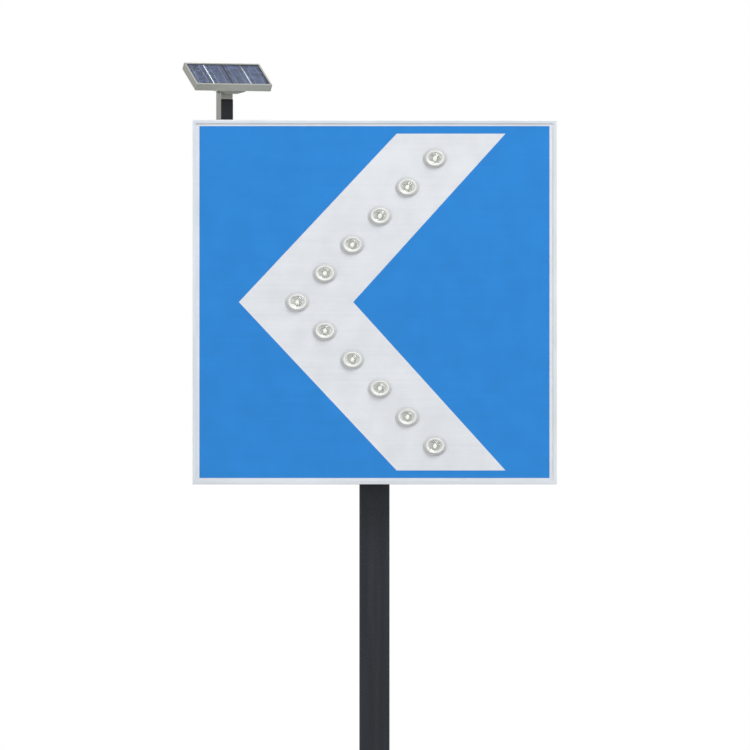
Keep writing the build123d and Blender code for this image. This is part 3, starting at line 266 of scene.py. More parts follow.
def thread(radius, pitch, low, high):
    """A screw thread about local z, with a chamfered end."""
    sides, steps = 32, int((high - low) / pitch * 6)
    loops = []
    for k in range(steps + 1):
        rise = low + (high - low) * k / steps
        loop = []
        for i in range(sides):
            phase = (rise / pitch - i / sides) % 1
            ridge = radius - 1.1 * pitch * abs(phase - 0.5)
            reach = min(ridge, radius - 0.6 * pitch + (high - rise))
            angle = TURN * i / sides
            loop.append((reach * math.cos(angle), reach * math.sin(angle), rise))
        loops.append(loop)
    return skin(loops)


def cross_head(radius, height, reach=0.55, depth=0.6):
    """A pan head from local z 0 up. Its cross recess is in shares of the radius and the height."""
    profile = [(1.0, 0.0), (1.0, 0.3), (0.97, 0.55), (0.9, 0.78), (0.78, 0.93), (0.62, 1.0)]
    shape = turned(scaled(profile, radius, height))
    top = max(shape.faces, key=lambda face: face.calc_center_median().z)
    rim = list(top.edges)
    bmesh.ops.delete(shape, geom=[top], context="FACES_ONLY")
    long, arm = reach * radius, 0.22 * reach * radius
    quarter = [(long, -arm), (long, arm), (arm, arm)]
    outline = []
    for turn in range(4):
        spin = Matrix.Rotation(TURN * turn / 4, 2)
        outline += [spin @ Vector(point) for point in quarter]
    upper = [shape.verts.new((x, y, height)) for x, y in outline]
    floor = height * (1 - depth)
    lower = [shape.verts.new((0.8 * x, 0.8 * y, floor)) for x, y in outline]
    count = len(outline)
    for i in range(count):
        j = (i + 1) % count
        rim.append(shape.edges.new((upper[i], upper[j])))
        shape.faces.new((upper[i], upper[j], lower[j], lower[i]))
    shape.faces.new(lower)
    bmesh.ops.triangle_fill(shape, edges=rim, use_beauty=True)
    return shape


def rivet(radius, height, tail):
    """A blind rivet from local z 0 up: a domed head dimpled by its pulled pin, and a tail below."""
    dome = [(0.98, 0.0), (1.0, 0.12), (0.95, 0.4), (0.82, 0.68), (0.62, 0.88), (0.42, 0.98),
            (0.34, 1.0), (0.3, 0.9), (0.26, 0.62), (0.12, 0.56), (0, 0.55)]
    rings = [(0, tail), (0.5 * radius, tail), (0.5 * radius, 0.0)] if tail else [(0, 0.0)]
    return turned(rings + scaled(dome, radius, height), 32)


def bead(start, end, one, other, leg):
    """A weld bead with the ripples of its passes. one and other point along the two plates."""
    count = max(2, int((end - start).length / (0.6 * MM)))
    loops = []
    for k in range(count + 1):
        place = start.lerp(end, k / count)
        ends = min(1.0, 0.35 + 0.25 * min(k, count - k))
        size = leg * ends * (1 + 0.05 * math.sin(TURN * k / 4.7) + 0.05 * math.sin(TURN * k / 23))
        profile = ((-0.1, -0.1), (1.0, -0.1), (0.86, 0.3), (0.6, 0.6), (0.3, 0.86), (-0.1, 1.0))
        loops.append([place + one * (a * size) + other * (b * size) for a, b in profile])
    return skin(loops)


def tightened(spot, across, upwards):
    """A turn about local z that differs from screw to screw, as tightening leaves it."""
    return Matrix.Rotation(spot.x * across + spot.z * upwards, 4, "Z")


def halves(box):
    """Half the width and half the height of a box, seen from the front."""
    return (box[1].x - box[0].x) / 2, (box[1].z - box[0].z) / 2


def piece(name, parts, body, slot, *nodes):
    """One object of (shape, place, finish) parts. It rides on a body and stands for the nodes."""
    mesh = bpy.data.meshes.new(name)
    whole = bmesh.new()
    for shape, place, finish in parts:
        if finish.name not in mesh.materials:
            mesh.materials.append(finish)
        shape.transform(place)
        bmesh.ops.recalc_face_normals(shape, faces=shape.faces)
        for face in shape.faces:
            face.material_index = mesh.materials.find(finish.name)
            face.smooth = True
        part = bpy.data.meshes.new("part")
        shape.to_mesh(part)
        shape.free()
        whole.from_mesh(part)
        bpy.data.meshes.remove(part)
    whole.to_mesh(mesh)
    whole.free()
    mesh.set_sharp_from_angle(angle=math.radians(32))
    made = bpy.data.objects.new(name, mesh)
    bpy.context.scene.collection.objects.link(made)
    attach(made, body)
    if nodes:
        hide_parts(*nodes)
    return made


def dress(finish, *nodes):
    """Gives CAD nodes a finish."""
    for node in nodes:
        mesh = frame["nodes"][node].data
        mesh.materials.clear()
        mesh.materials.append(finish)


def soften(edge, *nodes):
    """Breaks the sharp edges of CAD nodes, as deburring, folding or casting does."""
    for node in nodes:
        made = frame["nodes"][node].modifiers
        weld = made.new("joined faces", "WELD")
        weld.merge_threshold = 1e-6
        flat = made.new("whole flats", "DECIMATE")
        flat.decimate_type = "DISSOLVE"
        flat.angle_limit = math.radians(0.5)
        bevel = made.new("broken edges", "BEVEL")
        bevel.width = edge
        bevel.segments = 2
        bevel.limit_method = "ANGLE"
        bevel.angle_limit = math.radians(50)
        bevel.use_clamp_overlap = True
        even = made.new("even shading", "WEIGHTED_NORMAL")
        even.mode = "FACE_AREA_WITH_ANGLE"
        even.weight = 100


def swell(amount, *nodes):
    """Presses CAD nodes a hair into what is bonded to them, so that no air shows between."""
    for node in nodes:
        made = frame["nodes"][node].modifiers
        weld = made.new("joined faces", "WELD")
        weld.merge_threshold = 1e-6
        press = made.new("bond", "DISPLACE")
        press.mid_level = 0
        press.strength = amount


# Finishes

def add(tree, kind, inputs=None, **settings):
    """Adds one node, sets or links its inputs by name or number, and gives its outputs."""
    made = tree.nodes.new("ShaderNode" + kind)
    for key, value in settings.items():
        setattr(made, key, value)
    for key, value in (inputs or {}).items():
        if isinstance(value, bpy.types.NodeSocket):
            tree.links.new(value, made.inputs[key])
        else:
            made.inputs[key].default_value = value
    return made.outputs


def material(name, even, patterned=None):
    """A Principled material. even sets sockets, and patterned gives those that nodes feed."""
    made = bpy.data.materials.new(name)
    made.use_nodes = True
    tree = made.node_tree
    shader = tree.nodes["Principled BSDF"]
    for key, value in even.items():
        shader.inputs[key].default_value = value
    if patterned:
        place = add(tree, "TexCoord")["Object"]
        for key, output in patterned(tree, place).items():
            tree.links.new(output, shader.inputs[key])
    return made


def cover(made, share, shader):
    """Shows another shader over a share of a material."""
    tree = made.node_tree
    own = tree.nodes["Principled BSDF"].outputs[0]
    both = add(tree, "MixShader", {0: share, 1: own, 2: shader})[0]
    tree.links.new(both, tree.nodes["Material Output"].inputs["Surface"])
    return made


def in_sight(tree):
    """1 for rays that the camera, a mirror or glass sends, and 0 for those that light the object."""
    path = add(tree, "LightPath")
    share = path["Is Camera Ray"]
    for other in ("Is Glossy Ray", "Is Transmission Ray"):
        share = add(tree, "Math", {0: share, 1: path[other]}, operation="MAXIMUM")[0]
    return share


def surface(tree, share, rough, height, strength, relief):
    """Gloss and relief of a finish: the roughness follows a share, and the relief is in mm."""
    gloss = add(tree, "MapRange", {"Value": share, "To Min": rough[0], "To Max": rough[1]})[0]
    bump = add(tree, "Bump", {"Height": height, "Strength": strength, "Distance": relief * MM})[0]
    return {"Roughness": gloss, "Normal": bump}


def grained(name, light, dark, grain, rough, relief, even):
    """A finish whose tone, gloss and relief follow one grain, sized in mm, or in mm along X, Y, Z."""

    def pattern(tree, place):
        sizes = grain if isinstance(grain, (tuple, list)) else [grain] * 3
        scale = [1 / (size * MM) for size in sizes]
        drawn = add(tree, "Mapping", {"Vector": place, "Scale": scale})[0]
        fine = add(tree, "TexNoise", {"Vector": drawn, "Scale": 1.0, "Detail": 4.0,
                                      "Roughness": 0.6})[0]
        # Clouds of about 90 mm: handling, weather and uneven film keep a real surface from one tone
        cloud = add(tree, "TexNoise", {"Vector": place, "Scale": 1 / (90 * MM), "Detail": 3.0})[0]
        share = add(tree, "Math", {0: cloud, 1: 0.45}, operation="MULTIPLY")[0]
        share = add(tree, "Math", {0: fine, 1: 0.55, 2: share}, operation="MULTIPLY_ADD")[0]
        tone = add(tree, "MapRange", {"Value": share, "From Min": 0.36, "From Max": 0.64})[0]
        hue = add(tree, "Mix", {0: tone, 6: dark, 7: light}, data_type="RGBA")[2]
        return {"Base Color": hue, **surface(tree, tone, rough, fine, 0.6, relief)}

    return material(name, even, pattern)


def chosen(group, name):
    """A colour from the settings."""
    return tuple(getattr(getattr(bpy.context.scene, group), name))


def shade(tone, share):
    """A linear colour darkened or lightened by a share."""
    return (*(min(1.0, part * share) for part in tone[:3]), 1.0)


@cache
def powder_coat():
    """Steel, powder-coated and baked: dark satin with orange peel, rain marks and dust low down."""
    tone = chosen("sign_metal", "post")

    def pattern(tree, place):
        # Orange peel is about 2 mm; it is drawn at 3 mm so that it shows
        peel = add(tree, "TexNoise", {"Vector": place, "Scale": 1 / (3 * MM), "Detail": 2.0})[0]
        # Rain marks are some 9 mm wide and 260 mm long, and the dust reaches 160 mm up
        streak = (1 / (9 * MM), 1 / (9 * MM), 1 / (260 * MM))
        run = add(tree, "Mapping", {"Vector": place, "Scale": streak})[0]
        rain = add(tree, "TexNoise", {"Vector": run, "Scale": 1.0, "Detail": 4.0})[0]
        rain = add(tree, "MapRange", {"Value": rain, "From Min": 0.42, "From Max": 0.75,
                                      "To Max": 0.8})[0]
        height = add(tree, "SeparateXYZ", {0: place})[2]
        low = add(tree, "MapRange", {"Value": height, "From Min": 160 * MM, "From Max": 0.0,
                                     "To Max": 0.38})[0]
        speck = add(tree, "TexNoise", {"Vector": place, "Scale": 1 / (14 * MM), "Detail": 6.0})[0]
        dust = add(tree, "Math", {0: low, 1: speck}, operation="MULTIPLY")[0]
        hue = add(tree, "Mix", {0: rain, 6: tone, 7: shade(tone, 2.0)}, data_type="RGBA")[2]
        hue = add(tree, "Mix", {0: dust, 6: hue, 7: linear("6E675C")}, data_type="RGBA")[2]
        return {"Base Color": hue, **surface(tree, rain, (0.42, 0.66), peel, 0.7, 0.3)}

    return material("Powder-coated steel, dark grey", {"Specular IOR Level": 0.3}, pattern)


@cache
def black_abs():
    """ABS moulded in a spark-eroded tool: black with a fine even grain that breaks up its shine."""
    # The grain is about 0.3 mm; it is drawn at 0.8 mm so that it shows
    return grained("ABS, moulded black", linear("1C1D1F"), linear("121315"), 0.8,
                   (0.42, 0.56), 0.06, {"Specular IOR Level": 0.3})


@cache
def black_pvc_and_shade():
    """PVC extruded as a strip: near black, with faint draw lines along its length. On the mast cover
    it is painted shade.
    """
    return grained("PVC, extruded black", linear("17181B"), linear("0E0F12"), (1.2, 1.2, 60),
                   (0.4, 0.55), 0.05, {"Specular IOR Level": 0.25})


@cache
def anodised_aluminium(along):
    """Aluminium, extruded and clear-anodised: satin silver grey with die lines along the bar."""
    tone = chosen("sign_metal", "anodised")
    # Die lines are some 0.2 mm apart; they are drawn at 0.9 mm so that they show
    grain = [0.9, 0.9, 0.9]
    grain["XYZ".index(along)] = 400
    return grained(f"Anodised aluminium, extruded along {along}", tone, shade(tone, 0.9), grain,
                   (0.3, 0.42), 0.04, {"Metallic": 1.0})


@cache
def weathered_aluminium():
    """Anodised aluminium after years outdoors: dull and warm, with patches of chalked film."""
    tone = chosen("sign_solar", "edge")
    return grained("Anodised aluminium, weathered", tone, shade(tone, 0.8), 2.5,
                   (0.4, 0.6), 0.05, {"Metallic": 0.6})


@cache
def rolled_aluminium():
    """Aluminium sheet as it leaves the mill: grey silver with rolling lines across the board."""
    tone = chosen("sign_metal", "sheet")
    return grained("Aluminium sheet, rolled", tone, shade(tone, 0.82), (300, 1.1, 1.1),
                   (0.34, 0.5), 0.03, {"Metallic": 1.0})


@cache
def mill_aluminium():
    """Aluminium rail, extruded and left bare: duller than the frame, with die lines along it."""
    tone = chosen("sign_metal", "sheet")
    return grained("Aluminium rail, mill finish", shade(tone, 0.8), shade(tone, 0.62), (300, 1.0, 1.0),
                   (0.4, 0.55), 0.05, {"Metallic": 1.0})


@cache
def galvanised_steel():
    """Steel dipped in zinc: dull grey crystals that each catch the light a little differently."""
    tone, spangle = chosen("sign_metal", "galvanised"), bpy.context.scene.sign_metal.spangle

    def pattern(tree, place):
        wander = add(tree, "TexNoise", {"Vector": place, "Scale": 1 / (12 * MM), "Detail": 2.0})[1]
        warp = add(tree, "VectorMath", {0: wander, 3: 3 * MM}, operation="SCALE")[0]
        bent = add(tree, "VectorMath", {0: place, 1: warp})[0]
        large = add(tree, "TexVoronoi", {"Vector": bent, "Scale": 1 / spangle})["Color"]
        small = add(tree, "TexVoronoi", {"Vector": bent, "Scale": 2.7 / spangle})["Color"]
        large = add(tree, "SeparateColor", {0: large})[0]
        small = add(tree, "SeparateColor", {0: small})[0]
        share = add(tree, "Mix", {0: 0.45, 2: large, 3: small})[0]
        fine = add(tree, "TexNoise", {"Vector": place, "Scale": 1 / (1.5 * MM), "Detail": 3.0})[0]
        ends = {6: shade(tone, 0.86), 7: shade(tone, 1.1)}
        hue = add(tree, "Mix", {0: share, **ends}, data_type="RGBA")[2]
        return {"Base Color": hue, **surface(tree, share, (0.4, 0.52), fine, 0.4, 0.08)}

    return material("Galvanised steel, hot-dipped", {"Metallic": 0.85}, pattern)


@cache
def zinc_plate():
    """Steel plated with bright zinc: pale bluish silver, with a slight haze from passivation."""
    tone = chosen("sign_metal", "zinc")
    return grained("Zinc-plated steel", tone, shade(tone, 0.78), 2.5,
                   (0.22, 0.36), 0.03, {"Metallic": 1.0})


@cache
def chromed_zinc():
    """Die-cast zinc, chromed: bright and smooth, with faint wipe marks."""
    return grained("Chromed zinc, die-cast", linear("D8DADC"), linear("C2C5C9"), (6, 6, 1.5),
                   (0.08, 0.16), 0.01, {"Metallic": 1.0})


@cache
def reflective_sheeting(which):
    """Retroreflective film: a clear top over honeycomb cells, so its colour has a faint lattice."""
    looks = bpy.context.scene.sign_face
    tone = tuple(getattr(looks, which))

    def pattern(tree, place):
        # The cells are some 3 mm across in such film, and drawn at 4 mm so that they show
        size = 1 / looks.cell
        flat = add(tree, "Mapping", {"Vector": place, "Scale": (size, 0, size),
                                     "Rotation": (-math.pi / 2, 0, 0)})[0]
        # Two grids of points, one moved by half a step, whose nearest point is the middle of a cell
        tall = math.sqrt(0.75)
        half = (0.5, tall, 1.0)
        back = (-0.5, -tall, -1.0)
        one = add(tree, "VectorMath", {0: flat, 1: half, 2: back}, operation="WRAP")[0]
        moved = add(tree, "VectorMath", {0: flat, 1: (0.5, tall, 0)})[0]
        two = add(tree, "VectorMath", {0: moved, 1: half, 2: back}, operation="WRAP")[0]
        far_one = add(tree, "VectorMath", {0: one}, operation="LENGTH")[1]
        far_two = add(tree, "VectorMath", {0: two}, operation="LENGTH")[1]
        pick = add(tree, "Math", {0: far_one, 1: far_two}, operation="GREATER_THAN")[0]
        cell = add(tree, "Mix", {0: pick, 4: one, 5: two}, data_type="VECTOR")[1]
        cell = add(tree, "VectorMath", {0: cell}, operation="ABSOLUTE")[0]
        slant = add(tree, "VectorMath", {0: cell, 1: (0.5, tall, 0)}, operation="DOT_PRODUCT")[1]
        across = add(tree, "SeparateXYZ", {0: cell})[0]
        reach = add(tree, "Math", {0: slant, 1: across}, operation="MAXIMUM")[0]
        wall = add(tree, "MapRange", {"Value": reach, "From Min": 0.4, "From Max": 0.48})[0]
        # Lay-up streaks across the board and soft mottling of the film
        lay = add(tree, "Mapping", {"Vector": place, "Scale": (1 / (260 * MM), 1.0, 1 / (5 * MM))})[0]
        streak = add(tree, "TexNoise", {"Vector": lay, "Scale": 1.0, "Detail": 3.0})[0]
        mottle = add(tree, "TexNoise", {"Vector": place, "Scale": 1 / (38 * MM), "Detail": 5.0})[0]
        share = add(tree, "Math", {0: streak, 1: 0.5, 2: mottle}, operation="MULTIPLY_ADD")[0]
        share = add(tree, "MapRange", {"Value": share, "From Min": 0.55, "From Max": 0.95})[0]
        ends = {6: shade(tone, 0.955), 7: shade(tone, 1.04)}
        hue = add(tree, "Mix", {0: share, **ends}, data_type="RGBA")[2]
        faint = add(tree, "Math", {0: wall, 1: 0.3}, operation="MULTIPLY")[0]
        hue = add(tree, "Mix", {0: faint, 6: hue, 7: shade(tone, 0.84)}, data_type="RGBA")[2]
        return {"Base Color": hue, **surface(tree, wall, (0.3, 0.42), wall, 0.12, 0.05)}

    return material(f"Retroreflective sheeting, {which}", {"Specular IOR Level": 0.22}, pattern)


@cache
def rubber():
    """Foam rubber, cut from sheet: matt charcoal with fine cells."""
    return grained("Foam rubber, charcoal", linear("25262A"), linear("17181B"), 1.2,
                   (0.75, 0.92), 0.15, {"Specular IOR Level": 0.25})


@cache
def white_abs():
    """ABS moulded in a polished tool: glossy off-white with very slight waviness."""
    tone = chosen("sign_face", "bezel")
    return grained("ABS, polished white", tone, shade(tone, 0.95), 9,
                   (0.1, 0.18), 0.02, {"Specular IOR Level": 0.5})


@cache
def rim_abs_painted_shade():
    """The sloping rim round a lamp: satin ABS, grey and darker than the ring inside it; the grey is
    painted shade on its flank.
    """
    tone = chosen("sign_face", "rim")
    return grained("ABS, moulded grey", tone, shade(tone, 0.88), 0.8,
                   (0.35, 0.45), 0.04, {"Specular IOR Level": 0.35})


@cache
def nylon():
    """Nylon, moulded: cream white and slightly waxy."""
    return grained("Nylon, moulded natural", linear("D9D5C6"), linear("C6C1B0"), 2,
                   (0.4, 0.52), 0.04, {"Subsurface Weight": 0.1, "Subsurface Scale": 2 * MM})


def clear(name, tint, ior, rough):
    """A clear solid: light and lamps pass through it, and its surface keeps its own shine."""

    def pattern(tree, place):
        wave = add(tree, "TexNoise", {"Vector": place, "Scale": 1 / (6 * MM), "Detail": 2.0})[0]
        return surface(tree, wave, rough, wave, 0.2, 0.02)

    even = {"Base Color": tint, "IOR": ior, "Transmission Weight": 1.0}
    made = material(name, even, pattern)
    open_way = add(made.node_tree, "BsdfTransparent", {"Color": tint})[0]
    lamps = add(made.node_tree, "LightPath")["Is Shadow Ray"]
    return cover(made, lamps, open_way)


@cache
def lens_polycarbonate():
    """Polycarbonate, moulded clear: bright edges on each ring and a faint green-grey body."""
    tint = chosen("sign_face", "lens")
    return clear("Polycarbonate, moulded clear", tint, 1.585, (0.02, 0.08))


@cache
def led_epoxy():
    """Clear epoxy cast over the LED chip."""
    return clear("Epoxy, cast clear", linear("F8F9F6"), 1.53, (0.01, 0.05))


@cache
def reflector_foil():
    """ABS cup coated with aluminium vapour: a bright mirror, a little wavy."""
    return grained("Aluminised ABS, vapour-coated", linear("E2E4E1"), linear("CED0CD"), 3,
                   (0.2, 0.3), 0.03, {"Metallic": 1.0})


@cache
def phosphor():
    """Phosphor in silicone over a white LED, lit: pale yellow grains with a warm white glow."""
    glow = {"Specular IOR Level": 0.4, "Emission Color": linear("FFFDFB"), "Emission Strength": 0.8}
    return grained("LED phosphor, pale yellow", linear("F4F2EA"), linear("E9E6DB"), 0.5,
                   (0.5, 0.7), 0.05, glow)


@cache
def solder_mask():
    """Circuit board under green solder mask: copper tracks show as a paler raised grid."""

    def pattern(tree, place):
        # Tracks of 0.6 mm, 2.5 mm apart and joined every 7.5 mm, broken by noise so that they end
        flat = add(tree, "Mapping", {"Vector": place, "Rotation": (math.pi / 2, 0, 0)})[0]
        spot = add(tree, "TexBrick", {"Vector": flat, "Scale": 1 / (10 * MM), "Mortar Size": 0.03,
                                      "Brick Width": 0.25, "Row Height": 0.75, "Color1": (0, 0, 0, 1),
                                      "Color2": (0, 0, 0, 1), "Mortar": (1, 1, 1, 1)}, offset=0.5)[0]
        gaps = add(tree, "TexNoise", {"Vector": place, "Scale": 1 / (6 * MM), "Detail": 0.0})[0]
        gaps = add(tree, "Math", {0: gaps, 1: 0.5}, operation="GREATER_THAN")[0]
        track = add(tree, "Math", {0: spot, 1: gaps}, operation="MULTIPLY")[0]
        ends = {6: linear("12512F"), 7: linear("2C7A48")}
        hue = add(tree, "Mix", {0: track, **ends}, data_type="RGBA")[2]
        return {"Base Color": hue, **surface(tree, track, (0.28, 0.36), track, 0.5, 0.04)}

    return material("Circuit board, green solder mask", {"Coat Weight": 0.2}, pattern)


@cache
def cell_sleeve():
    """PVC shrunk over a battery cell: smooth teal film, tight with faint draw lines."""
    return grained("PVC sleeve, shrunk teal", linear("2E7F86"), linear("24686F"), (2, 2, 40),
                   (0.25, 0.38), 0.04, {"Specular IOR Level": 0.5})


@cache
def tinned_copper():
    """Copper dipped in tin: bright soft silver with slight ripples along the ribbon."""
    return grained("Tinned copper ribbon", linear("D6D8DB"), linear("B9BCC2"), 2,
                   (0.25, 0.4), 0.03, {"Metallic": 1.0})


@cache
def tinned_ribbon():
    """Tinned copper under lamination: dull grey ribbon soldered along the cells."""
    return grained("Tinned ribbon, laminated", linear("969CAB"), linear("7F8596"), 2,
                   (0.4, 0.55), 0.03, {"Metallic": 1.0})


@cache
def solar_glass():
    """Low-iron glass, tempered and coated: clear, with a roller wave in its faint reflections."""
    # The porous coating lowers the index of the surface from 1.52
    return clear("Low-iron glass, coated", linear("F6FAF8"), 1.25, (0.02, 0.06))


@cache
def silicon():
    """Polycrystalline silicon, coated: flakes of differing blue with fine silver fingers across."""
    looks = bpy.context.scene.sign_solar
    tone = tuple(looks.silicon)
    axes = panel_axes()

    def pattern(tree, place):
        turn = axes.to_3x3().inverted().to_euler()
        flat = add(tree, "VectorRotate", {"Vector": place, "Rotation": turn},
                   rotation_type="EULER_XYZ")[0]
        large = add(tree, "TexVoronoi", {"Vector": flat, "Scale": 1 / looks.grain},
                    distance="MANHATTAN")["Color"]
        small = add(tree, "TexVoronoi", {"Vector": flat, "Scale": 2.3 / looks.grain},
                    distance="MANHATTAN")["Color"]
        large = add(tree, "SeparateColor", {0: large})[1]
        small = add(tree, "SeparateColor", {0: small})[0]
        share = add(tree, "Mix", {0: 0.45, 2: large, 3: small})[0]
        ends = {6: shade(tone, 0.35), 7: shade(tone, 1.95)}
        hue = add(tree, "Mix", {0: share, **ends}, data_type="RGBA")[2]
        # The fingers are 0.1 mm wide; they are drawn 0.24 mm wide so that they show
        along = add(tree, "SeparateXYZ", {0: flat})[1]
        row = add(tree, "Math", {0: along, 1: looks.finger / 2}, operation="PINGPONG")[0]
        line = add(tree, "Math", {0: row, 1: 0.12 * MM}, operation="LESS_THAN")[0]
        faint = add(tree, "Math", {0: line, 1: 0.4}, operation="MULTIPLY")[0]
        hue = add(tree, "Mix", {0: faint, 6: hue, 7: linear("A2A8B6")}, data_type="RGBA")[2]
        return {"Base Color": hue, **surface(tree, share, (0.3, 0.5), line, 0.3, 0.03)}

    return material("Polycrystalline silicon, coated blue", {"Specular IOR Level": 0.2}, pattern)


@cache
def backsheet_film():
    """Polyester film behind the cells: matt white with a slight orange peel from lamination."""
    return grained("Polyester film, laminated white", linear("DADDE2"), linear("CDD0D8"), 4,
                   (0.5, 0.65), 0.05, {"Specular IOR Level": 0.35})


@cache
def battery_tin():
    """Nickel-plated steel of a battery cell's ends, drawn and polished."""
    return grained("Nickel-plated steel, drawn", linear("CFCBC2"), linear("B5B1A8"), 1.5,
                   (0.2, 0.32), 0.02, {"Metallic": 1.0})


@cache
def cradle_paint():
    """Stove-enamelled steel: warm grey with a faint orange peel."""
    return grained("Enamelled steel, warm grey", linear("8E8F89"), linear("7F807A"), 3,
                   (0.38, 0.5), 0.06, {"Specular IOR Level": 0.4})


@cache
def floor_paint():
    """Plywood, painted matt: pale round the post, and lost in the white room further out."""
    tone = chosen("sign_stage", "floor")

    def pattern(tree, place):
        speck = add(tree, "TexNoise", {"Vector": place, "Scale": 1 / (8 * MM), "Detail": 4.0})[0]
        ends = {6: shade(tone, 0.97), 7: shade(tone, 1.03)}
        return {"Base Color": add(tree, "Mix", {0: speck, **ends}, data_type="RGBA")[2]}

    even = {"Roughness": 0.7, "Specular IOR Level": 0.2}
    made = material("Painted floor, pale matt", even, pattern)
    tree = made.node_tree
    # The paint gives way to the white of the room between 1.1 m and 3.2 m from the post
    place = add(tree, "TexCoord")["Object"]
    far = add(tree, "VectorMath", {0: place}, operation="LENGTH")[1]
    fade = add(tree, "MapRange", {"Value": far, "From Min": 1.1, "From Max": 3.2},
               interpolation_type="SMOOTHSTEP")[0]
    fade = add(tree, "Math", {0: fade, 1: in_sight(tree)}, operation="MULTIPLY")[0]
    white = add(tree, "Emission", {"Color": (1, 1, 1, 1), "Strength": 1.0})[0]
    return cover(made, fade, white)


def panel_axes():
    """Axes of the solar panel at its pivot: along the pivot, up the slope and out of the glass."""
    tilt = next(joint for joint in frame["joints"] if joint["name"] == "panel_tilt")
    along = Vector(tilt["axis"]).normalized()
    glass = frame["nodes"]["panel_glass"].data
    out = max(glass.polygons, key=lambda face: face.area).normal.copy()
    out = out if out.z > 0 else -out
    slope = out.cross(along)
    turn = Matrix((along, slope, out)).transposed().to_4x4()
    return at(tilt["pos_m"], turn)


# Lamps, with local z out of the face

def lamp_ring(outer, glass, front, back):
    """The rim, grey for painted shade, the white ring with its barrel, and the bright shelf under the
    lens.

    outer and glass are half sizes of the bezel and of the lens, front and back its two ends.
    """

    def ovals(profile):
        """Rings whose share runs from the lens outwards, and whose lift from gasket to front."""
        inner = [size + LENS_PLAY for size in glass]
        return [(*(i + share * (o - i) for i, o in zip(inner, outer)), lift * front)
                for share, lift in profile]

    # The rim is a cone up to a groove; the white ring rises from the groove and dips to the lens
    cone = [(1.0, 0.0), (1.0, 0.06), (0.98, 0.1), (0.64, 0.6), (0.6, 0.62), (0.57, 0.58), (0.57, 0.0)]
    crown = [(0.56, 0.1), (0.56, 0.66), (0.53, 0.82), (0.46, 0.95), (0.38, 1.0), (0.3, 0.98),
             (0.22, 0.9), (0.13, 0.76), (0.05, 0.6), (0.0, 0.48), (0.0, 0.24)]
    shelf = 0.24 * front
    foil = shelf + 0.1 * MM
    barrel = [(BORE, shelf), (BORE, back), (BARREL, back), (BARREL, 0.1 * front)]
    bright = [(BORE, shelf), (*glass, shelf), (*glass, foil), (BORE, foil)]
    return [
        # The rim's grey is painted shade on the flank of its cone.
        (turned(ovals(cone), 72, True), rim_abs_painted_shade()),
        (turned(ovals(crown) + barrel, 72, True), white_abs()),
        (turned(bright, 72, True), reflector_foil()),
    ]


def lamp_lens(glass, tall, count, step):
    """A clear lens whose moulded rings stand on a low dome."""
    edge = 0.62 * tall

    def ring(share, lift):
        """A ring at a share of the lens's size, lifted off the dome."""
        dome = edge + (tall - edge - step) * (1 - share * share)
        return glass[0] * share, glass[1] * share, dome + lift

    rings = [(*glass, 0.0), (*glass, edge)]
    for k in range(count, 1, -1):
        below = (k - 1) / count
        rings += [ring(k / count - 0.02, 0.0), ring(below + 0.03, step), ring(below + 0.01, 0.0)]
    for share in (0.8, 0.6, 0.4, 0.2):
        core = share / count
        rings.append((glass[0] * core, glass[1] * core, tall - step * share * share))
    return turned(rings + [(0, tall)], 64)


def lamp_led(wall, deep):
    """The bright cup, the lit chip and the clear dome of one LED."""
    bowl = [(k / 8, (k / 8) ** 2) for k in range(8, 2, -1)] + [(0, 0.1)]
    cup = [(wall, 0.0), (wall, deep)] + scaled(bowl, wall - CUP_WALL, deep)
    chip = [(0.0, -1.4), (0.8, -1.4), (0.8, 2.2), (0.65, 2.5), (0.0, 2.6)]
    angles = [k * TURN / 40 for k in range(10)]
    dome = [(1.7 * math.cos(a), 2.7 + 2.0 * math.sin(a)) for a in angles] + [(0.0, 4.7)]
    return [
        (turned(cup, 40), reflector_foil()),
        (turned(scaled(chip, MM, MM), 32), phosphor()),
        (turned(scaled(dome, MM, MM), 32), led_epoxy()),
    ]


# Operators

class SIGN_OT_post(bpy.types.Operator):
    """Powder-coats the post and its base, and adds the welds at its foot"""

    bl_idname = "sign.post"
    bl_label = "Post"

    def execute(self, context):
        leg, short = context.scene.sign_metal.weld_leg, 6 * MM
        dress(powder_coat(), "post_tube", "base_plate", "base_gussets")
        soften(0.8 * MM, "base_plate", "base_gussets")
        dress(black_abs(), "post_cap")
        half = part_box("post_tube")[1].x
        foot, side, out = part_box("base_plate")[1].z, Vector((1, 0, 0)), Vector((0, -1, 0))
        up = Vector((0, 0, 1))
        gusset = next(box for box in solids("base_gussets") if box[0].y < -half)
        thick, reach, top = gusset[1].x, -gusset[0].y, gusset[1].z
        parts = []
        for quarter in range(4):
            spin = Matrix.Rotation(TURN * quarter / 4, 4, "Z")
            for hand in (side, -side):
                heel = hand * thick + out * half
                runs = [
                    (heel + up * foot, heel + up * (top - short), hand, out),
                    (heel + up * foot, hand * thick + out * (reach - short) + up * foot, hand, up),
                    (heel + hand * leg + up * foot, hand * (half - leg) + out * half + up * foot,
                     out, up),
                ]
                parts += [(bead(*run, leg), spin, powder_coat()) for run in runs]
        piece("post_welds", parts, "sign_post", "post_paint")
        return {"FINISHED"}


class SIGN_OT_frame(bpy.types.Operator):
    """Anodises the frame rails and finishes the plate and the corner keys"""

    bl_idname = "sign.frame"
    bl_label = "Frame"

    def execute(self, context):
        dress(anodised_aluminium("X"), "frame_top", "frame_bottom")
        dress(anodised_aluminium("Z"), "frame_left", "frame_right")
        soften(0.4 * MM, "frame_top", "frame_bottom", "frame_left", "frame_right")
        dress(rolled_aluminium(), "face_plate")
        dress(mill_aluminium(), "corner_keys")
        return {"FINISHED"}


class SIGN_OT_sheeting(bpy.types.Operator):
    """Lays the reflective sheeting on the face"""

    bl_idname = "sign.sheeting"
    bl_label = "Sheeting"

    def execute(self, context):
        dress(reflective_sheeting("blue"), "blue_sheeting")
        dress(reflective_sheeting("white"), "white_border", "white_chevron")
        return {"FINISHED"}


